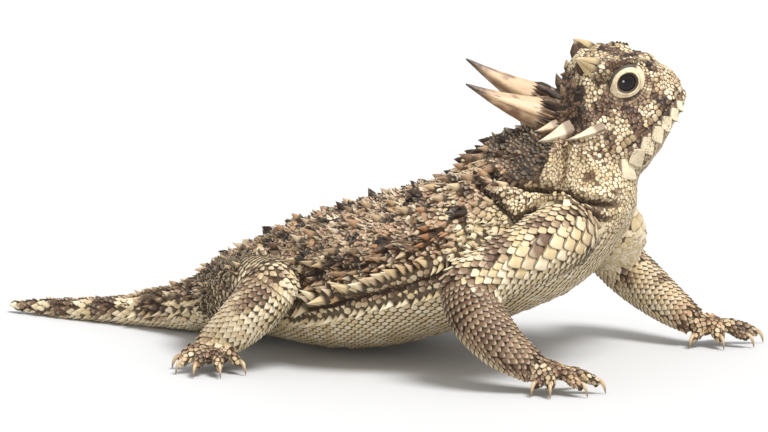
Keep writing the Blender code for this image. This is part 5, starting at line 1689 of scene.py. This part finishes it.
def make_scales(name="lizard_scales", outline=0.94, gap=None, specks=0.0):
    board = Board(name)
    look = bpy.context.scene.lizard
    tip, chance, height, _ = board.layer("Wear")
    # Painted shade: each scale darkens towards its foot and edges, to the colour of the skin between scales
    shade = (1 - height).between(0.15, 0.95) * outline
    colour, fine, pale = coat_colour(board, tip, chance, shade, rgb(gap or look.gap))
    colour = board.mix(colour, rgb(look.umber), (0.2 - chance).between(0.0, 0.12) * (0.6 * specks))
    dots = (board.noise(4600.0, 3.0) + 0.35 * (board.noise(420.0, 2.0) - 0.5)).between(0.58, 0.64)
    colour = board.mix(colour, rgb(look.dark), dots * (0.85 * specks))
    rough = 0.62 + 0.25 * (fine - 0.5) + 0.08 * (1 - pale)
    return board.surface(colour, rough, board.bump(fine + 0.4 * board.noise(6500.0, 2.0), 0.35, 0.00012), level=0.35)


def make_head_scales():
    return make_scales("lizard_head_scales", 0.92, bpy.context.scene.lizard.head_gap, 0.9)


def make_neck_scales():
    return make_scales("lizard_neck_scales", 0.85, bpy.context.scene.lizard.neck_gap, 0.4)


def make_skin():
    board = Board("lizard_skin")
    look = bpy.context.scene.lizard
    folds, _, head, neck = board.layer("Folds")
    under = board.mix(rgb(look.gap), rgb(look.head_gap), head)
    under = board.mix(under, rgb(look.neck_gap), neck)
    # The skin between the scales is drawn most of the way to the gap colour: the skin's own dark colour together with
    # painted shade in the gaps
    colour, _, _ = coat_colour(board, board.noise(900.0), board.noise(1500.0), 0.86, under)
    # Painted shade: the skin darkens in its folds and hollows
    colour = board.mix(colour, rgb(look.dark), folds.between(0.25, 0.8) * 0.92)
    return board.surface(colour, 0.8, board.bump(board.cells(1700.0), 0.5, 0.0002), level=0.25)


def make_horn():
    board = Board("lizard_horn")
    look = bpy.context.scene.lizard
    along, streak_and_shade, white, _ = board.layer("Wear")
    fine = board.noise(1500.0, 4.0, 0.6)
    colour = board.mix(rgb(look.horn), rgb(look.bone), (fine * 1.5 - 0.45).between(0.0, 0.8) * (0.25 + 0.55 * white))
    colour = board.mix(colour, rgb(look.bone), white * 0.6)
    # The streak colour also paints the shade on the horns' undersides
    colour = board.mix(colour, rgb(look.horn_streak_and_shade),
                       (streak_and_shade * (0.75 + 0.6 * (fine - 0.5))).between(0.12, 0.8) * (0.85 - 0.45 * white))
    colour = board.mix(colour, rgb(look.horn_tip),
                       (along + 0.2 * (fine - 0.5)).between(0.62, 0.94) * 0.92 * (1 - white * 0.35))
    colour = board.mix(colour, rgb(look.brown), (1 - along).between(0.86, 1.0) * 0.75)
    return board.surface(colour, 0.42 + 0.25 * fine, board.bump(fine, 0.4, 0.0002), coat=0.12, coat_rough=0.35)


def make_claw():
    board = Board("lizard_claw")
    look = bpy.context.scene.lizard
    along, _, _, _ = board.layer("Wear")
    fine = board.noise(1800.0, 3.0)
    colour = board.mix(rgb(look.umber), rgb(look.cream), along.between(0.0, 0.5) * 0.75 + 0.3 * (fine - 0.5))
    colour = board.mix(colour, rgb(look.brown), along.between(0.5, 1.0) * 0.85)
    return board.surface(colour, 0.35, board.bump(fine, 0.2, 0.0001), coat=0.25, coat_rough=0.25)


def make_eye():
    board = Board("lizard_eye")
    look = bpy.context.scene.lizard
    away, _, _, _ = board.layer("Wear")
    fine = board.noise(1400.0, 4.0)
    iris = board.mix(rgb(look.iris), rgb(look.dark), (away * 1.0 + 0.5 * (fine - 0.5)).between(0.42, 0.72))
    colour = board.mix((0.004, 0.003, 0.003, 1), iris, away.between(0.24, 0.3))
    return board.surface(colour, 0.07, None, coat=0.0, coat_rough=0.03, level=0.3)


def make_lids():
    board = Board("lizard_lids")
    look = bpy.context.scene.lizard
    dark, _, _, _ = board.layer("Wear")
    fine = board.noise(2400.0, 4.0)
    colour = board.mix(rgb(look.bone), rgb(look.cream), fine.between(0.3, 0.7))
    colour = board.mix(colour, rgb(look.russet), fine.between(0.5, 0.8) * 0.4)
    colour = board.mix(colour, rgb(look.tan), board.noise(700.0, 2.0).between(0.45, 0.7) * 0.55)
    # The lids' dark rims, with painted shade towards the rear below the eye
    colour = board.mix(colour, rgb(look.dark), dark.between(0.3, 0.8) * 0.92)
    return board.surface(colour, 0.6, board.bump(board.cells(3200.0), 0.35, 0.0001), level=0.4)


def make_floor():
    board = Board("studio_floor")
    look = bpy.context.scene.lizard
    fine = board.noise(40.0, 2.0)
    colour = board.mix(rgb(look.floor), (0.56, 0.56, 0.56, 1), fine * 0.4)
    return board.surface(colour, 0.6, None, level=0.2)


FINISHES = {
    "scales": make_scales, "head_scales": make_head_scales, "neck_scales": make_neck_scales, "lids": make_lids,
    "skin": make_skin, "horn": make_horn, "claw": make_claw, "eye": make_eye, "floor": make_floor,
}


@cache
def finish(name):
    """The material of the given name, made once."""
    return FINISHES[name]()


LIMB_PARTS = ("upper_arm", "forearm", "hand", "thigh", "shank", "foot")
FLESH = ["torso", "tail_base", "tail_tip", "neck", "head"]
FLESH += [f"{part}_{side}" for part in LIMB_PARTS for side in ("left", "right")]


def colour_property(name, what, value):
    return FloatVectorProperty(name=name, description=what, subtype="COLOR", size=3, min=0, max=1, default=value)


class LizardSizes(bpy.types.PropertyGroup):
    skin_depth: FloatProperty(name="Skin depth", description="How far the skin lies inside the solids",
                              default=SKIN_DEPTH * MM, unit="LENGTH")
    skin_grain: FloatProperty(name="Skin grain", description="Size of the skin's faces", default=0.00043, unit="LENGTH")
    belly_scale: FloatProperty(name="Belly scale", description="Distance between the belly's rows of scales",
                               default=0.00108, unit="LENGTH")
    limb_scale: FloatProperty(name="Limb scale", description="Width of the large scales on the upper arms and thighs",
                              default=0.00190, unit="LENGTH")
    key_light: FloatProperty(name="Key light", description="Strength of the large soft light", default=4.2)
    cream: colour_property("Cream", "The main colour of belly and limbs", (0.53, 0.41, 0.23))
    bone: colour_property("Bone", "The palest scales and tips", (0.68, 0.585, 0.42))
    straw: colour_property("Straw", "Yellowish patches among the cream", (0.36, 0.255, 0.12))
    tan: colour_property("Tan", "The main colour of the back", (0.36, 0.245, 0.15))
    russet: colour_property("Russet", "Pinkish brown patches of the back", (0.38, 0.20, 0.115))
    umber: colour_property("Umber", "The edges of brown patches", (0.26, 0.155, 0.085))
    brown: colour_property("Brown", "The darker scales of the back", (0.095, 0.047, 0.024))
    dark: colour_property("Dark", "Blotches of the back and head", (0.013, 0.008, 0.006))
    # The gap colours stand for the skin between scales together with painted shade in the gaps
    gap: colour_property("Gap", "The skin that shows between scales", (0.03, 0.017, 0.009))
    head_gap: colour_property("Head gap", "The skin between the scales of the head", (0.035, 0.019, 0.012))
    neck_gap: colour_property("Neck gap", "The skin between the scales of neck and throat", (0.095, 0.056, 0.027))
    toe: colour_property("Toe", "Orange brown of the toes", (0.30, 0.135, 0.05))
    horn: colour_property("Horn", "The main colour of the horns", (0.47, 0.31, 0.175))
    # Horn streaks, and the painted shade on the horns' undersides
    horn_streak_and_shade: colour_property("Horn streak", "Brown streaks of the horns", (0.15, 0.07, 0.036))
    horn_tip: colour_property("Horn tip", "The dark ends of the horns", (0.022, 0.013, 0.009))
    iris: colour_property("Iris", "The eye round its pupil", (0.011, 0.006, 0.004))
    floor: colour_property("Floor", "The floor", (0.52, 0.52, 0.52))


class LIZARD_OT_skin(bpy.types.Operator):
    """One skin over body, head, limbs, hands and feet, with its folds"""
    bl_idname = "lizard.skin"
    bl_label = "Skin"

    def execute(self, context):
        skin = body()
        markings = marks(skin.points, skin.form, skin.t, skin.v)
        head = (skin.form == IS_HEAD) * 1.0
        neck = (skin.form == IS_TRUNK) * ramp(skin.t, 12.6, 13.6) * 1.0
        folds = np.stack([skin.crease, skin.eye_open, head, neck], -1)
        obj = write_mesh("skin", skin.points, skin.quads, {"Markings": markings, "Folds": folds}, smooth=0)
        obj.data.materials.append(finish("skin"))
        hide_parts(*FLESH)
        return {"FINISHED"}


class LIZARD_OT_scales(bpy.types.Operator):
    """Solid scales over the skin, in rows or closely packed as on each part of the animal"""
    bl_idname = "lizard.scales"
    bl_label = "Scales"

    def execute(self, context):
        s = seeds()
        form, t, kind = s["form"], s["t"], s["kind"]
        around, left = off_top(s["v"]), s["v"] % 1.0 < 0.5
        trunk, head = form == IS_TRUNK, form == IS_HEAD
        tail, neck = trunk & (t < 4.9), trunk & (t > 13.4)
        torso = trunk & ~tail & ~neck
        belly = torso & (around > 0.31)
        limb = (form >= FIRST_LIMB) & (form < FIRST_PALM)
        arm = limb & (form < FIRST_LIMB + 4)
        hand, ahead = form >= FIRST_PALM, s["place"][:, 0] > 15
        groups = (
            ("back_scales_left", torso & ~belly & left, "scales"),
            ("back_scales_right", torso & ~belly & ~left, "scales"),
            ("belly_scales", belly, "scales"), ("tail_scales", tail, "scales"), ("neck_scales", neck, "neck_scales"),
            ("arm_scales", arm, "scales"), ("leg_scales", limb & ~arm, "scales"),
            ("hand_scales", hand & ahead, "scales"), ("foot_scales", hand & ~ahead, "scales"),
            ("head_scales", head, "head_scales"),
        )
        small = (s["size"] < 0.6) | (kind == SQUARE) | ((kind == GRAIN) & (s["size"] < 0.75))
        for name, pick, material in groups:
            grow_scales(name, np.nonzero(pick & ~small)[0], material=material)
            grow_scales(name + "_fine", np.nonzero(pick & small)[0], 6, (1.0, 0.7), material)
        return {"FINISHED"}


class LIZARD_OT_spines(bpy.types.Operator):
    """Spines over back, tail and neck, the fringes of the flanks, and the pointed scales of the head"""
    bl_idname = "lizard.spines"
    bl_label = "Spines"

    def execute(self, context):
        trunk = trunk_spines()
        grow_spines("back_spines", [s for s in trunk if s["tone"] < 0.9])
        grow_spines("flank_fringe", [s for s in trunk if s["tone"] >= 0.9])
        grow_spines("head_spines", head_spine_list())
        return {"FINISHED"}


class LIZARD_OT_eyes(bpy.types.Operator):
    """Both eyes and the rims of their lids"""
    bl_idname = "lizard.eyes"
    bl_label = "Eyes"

    def execute(self, context):
        for side, label in ((1, "left"), (-1, "right")):
            centre, look, up, _ = eye_axes(side)
            bm = bmesh.new()
            bmesh.ops.create_uvsphere(bm, u_segments=48, v_segments=32, radius=EYE_RADIUS - 0.12)
            frame_of = Matrix((tuple(np.cross(up, look)), tuple(up), tuple(look))).transposed()
            for vert in bm.verts:
                bulge = 1 + 0.035 * max(vert.co.z / EYE_RADIUS, 0) ** 8
                vert.co = Vector(centre) + frame_of @ (vert.co * bulge)

            def off_axis(p, centre=centre, look=look):
                away = np.arccos(np.clip(unit(p - centre) @ look, -1, 1))
                return np.stack([away, 0 * away, 0 * away], -1)

            eye = solid_piece(f"eyeball_{label}", bm, off_axis, "eye")
            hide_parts(f"eye_{label}")
            solid_piece(f"lids_{label}", *lids(side), "lids")
        return {"FINISHED"}


class LIZARD_OT_horns(bpy.types.Operator):
    """The two long horns behind the crown and three shorter ones at each side"""
    bl_idname = "lizard.horns"
    bl_label = "Horns"

    def execute(self, context):
        for side, label in ((1, "left"), (-1, "right")):
            long_horn = horn_piece(f"long_horn_{label}", (*OCCIPITAL_HORNS[side], 0.9, 0.0), side, 20 + side)
            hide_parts(f"horn_occipital_{label}")
            for number, spec in enumerate(SIDE_HORNS, start=1):
                horn = horn_piece(f"side_horn_{number}_{label}", spec, side, 30 + number * 2 + side)
                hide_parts(f"horn_temporal_{number}_{label}")
        return {"FINISHED"}


class LIZARD_OT_claws(bpy.types.Operator):
    """Five curved claws on each hand and foot"""
    bl_idname = "lizard.claws"
    bl_label = "Claws"

    def execute(self, context):
        for name, spec in zip(("hand_right", "hand_left", "foot_right", "foot_left"), HANDS):
            curves = [claw for _, claw, _ in digits(spec)]
            whole = joined([tapered(claw, sides=14, rows=24, ridge=0.01, flat=0.8) for claw in curves])
            spots = [(np.array(claw[0][:3]), np.array(claw[-1][:3])) for claw in curves]

            def shade(p, spots=spots):
                best = np.zeros(len(p))
                reach = np.full(len(p), 1e3)
                for start, end in spots:
                    f = np.clip((p - start) @ (end - start) / ((end - start) @ (end - start)), 0, 1)
                    d = np.linalg.norm(p - start - f[:, None] * (end - start), axis=1)
                    best, reach = np.where(d < reach, f, best), np.minimum(d, reach)
                return np.stack([best, 0 * best, 0 * best], -1)

            solid_piece(f"claws_{name}", whole, shade, "claw")
        return {"FINISHED"}


class LIZARD_OT_stage(bpy.types.Operator):
    """Pale floor, soft light and the camera"""
    bl_idname = "lizard.stage"
    bl_label = "Stage"

    def execute(self, context):
        scene = context.scene
        bm = bmesh.new()
        bmesh.ops.create_grid(bm, x_segments=8, y_segments=8, size=2.5)
        mesh = bpy.data.meshes.new("floor")
        bm.to_mesh(mesh)
        bm.free()
        floor = placed("floor", mesh)
        floor.data.materials.append(finish("floor"))
        self.place_lights(scene, *self.place_camera(scene))
        scene.view_settings.view_transform = "Standard"
        world = bpy.data.worlds.new("studio")
        world.use_nodes = True
        sky = world.node_tree.nodes["Background"]
        sky.inputs[0].default_value = (1, 1, 1, 1)
        sky.inputs[1].default_value = 0.82
        scene.world = world
        return {"FINISHED"}

    def place_camera(self, scene):
        """The camera at the photograph's angle. Returns where it aims, and the ways to its right and back."""
        azimuth, rise, away = math.radians(26), math.radians(8.5), 0.6
        back = Vector((math.sin(azimuth) * math.cos(rise), -math.cos(azimuth) * math.cos(rise), math.sin(rise)))
        right = Vector((math.cos(azimuth), math.sin(azimuth), 0))
        aim = (Vector((0, 8, 20)) + Vector(FRAME_SHIFT)) * MM
        lens = bpy.data.cameras.new("camera")
        lens.lens, lens.sensor_width, lens.clip_start = 171.56, 36, 0.01
        camera = placed("camera", lens)
        turned = Matrix((right, back.cross(right), back)).transposed().to_4x4()
        camera.matrix_world = Matrix.Translation(aim + back * away) @ turned
        scene.camera = camera
        return aim, right, back

    def place_lights(self, scene, aim, right, back):
        """A large soft light, and a fill light that stands where it shows as a spot in the right eye."""
        _, look, over, along = eye_axes(-1)
        spot = unit(look + 0.24 * over - 0.14 * along)
        glint = Vector(2 * spot * float(spot @ np.array(back)) - np.array(back))
        for name, place, spread, strength in (
            ("key", right * 0.42 + back * 0.42 + Vector((0, 0, 1.0)), 26, scene.lizard.key_light),
            ("fill", glint, 14, 0.25 * scene.lizard.key_light),
        ):
            light = bpy.data.lights.new(name, "SUN")
            light.angle, light.energy = math.radians(spread), strength
            lamp = placed(name, light)
            lamp.location = aim + place
            lamp.rotation_euler = (-place).to_track_quat("-Z", "Y").to_euler()


STEPS = (LIZARD_OT_stage, LIZARD_OT_skin, LIZARD_OT_scales, LIZARD_OT_spines, LIZARD_OT_eyes, LIZARD_OT_horns,
         LIZARD_OT_claws)


class LIZARD_PT_panel(bpy.types.Panel):
    """Sizes, colours and pieces of the lizard"""
    bl_idname = "LIZARD_PT_panel"
    bl_label = "Horned lizard"
    bl_space_type = "VIEW_3D"
    bl_region_type = "UI"
    bl_category = "Lizard"

    def draw(self, context):
        column = self.layout.column()
        for name in LizardSizes.__annotations__:
            column.prop(context.scene.lizard, name)
        for step in STEPS:
            column.operator(step.bl_idname)


CLASSES = (LizardSizes, *STEPS, LIZARD_PT_panel)


def register():
    for cls in CLASSES:
        bpy.utils.register_class(cls)
    bpy.types.Scene.lizard = PointerProperty(type=LizardSizes)


def unregister():
    del bpy.types.Scene.lizard
    for cls in reversed(CLASSES):
        bpy.utils.unregister_class(cls)


def main():
    register()
    for step in STEPS:
        group, name = step.bl_idname.split(".")
        getattr(getattr(bpy.ops, group), name)()


if __name__ == "__main__":
    main()
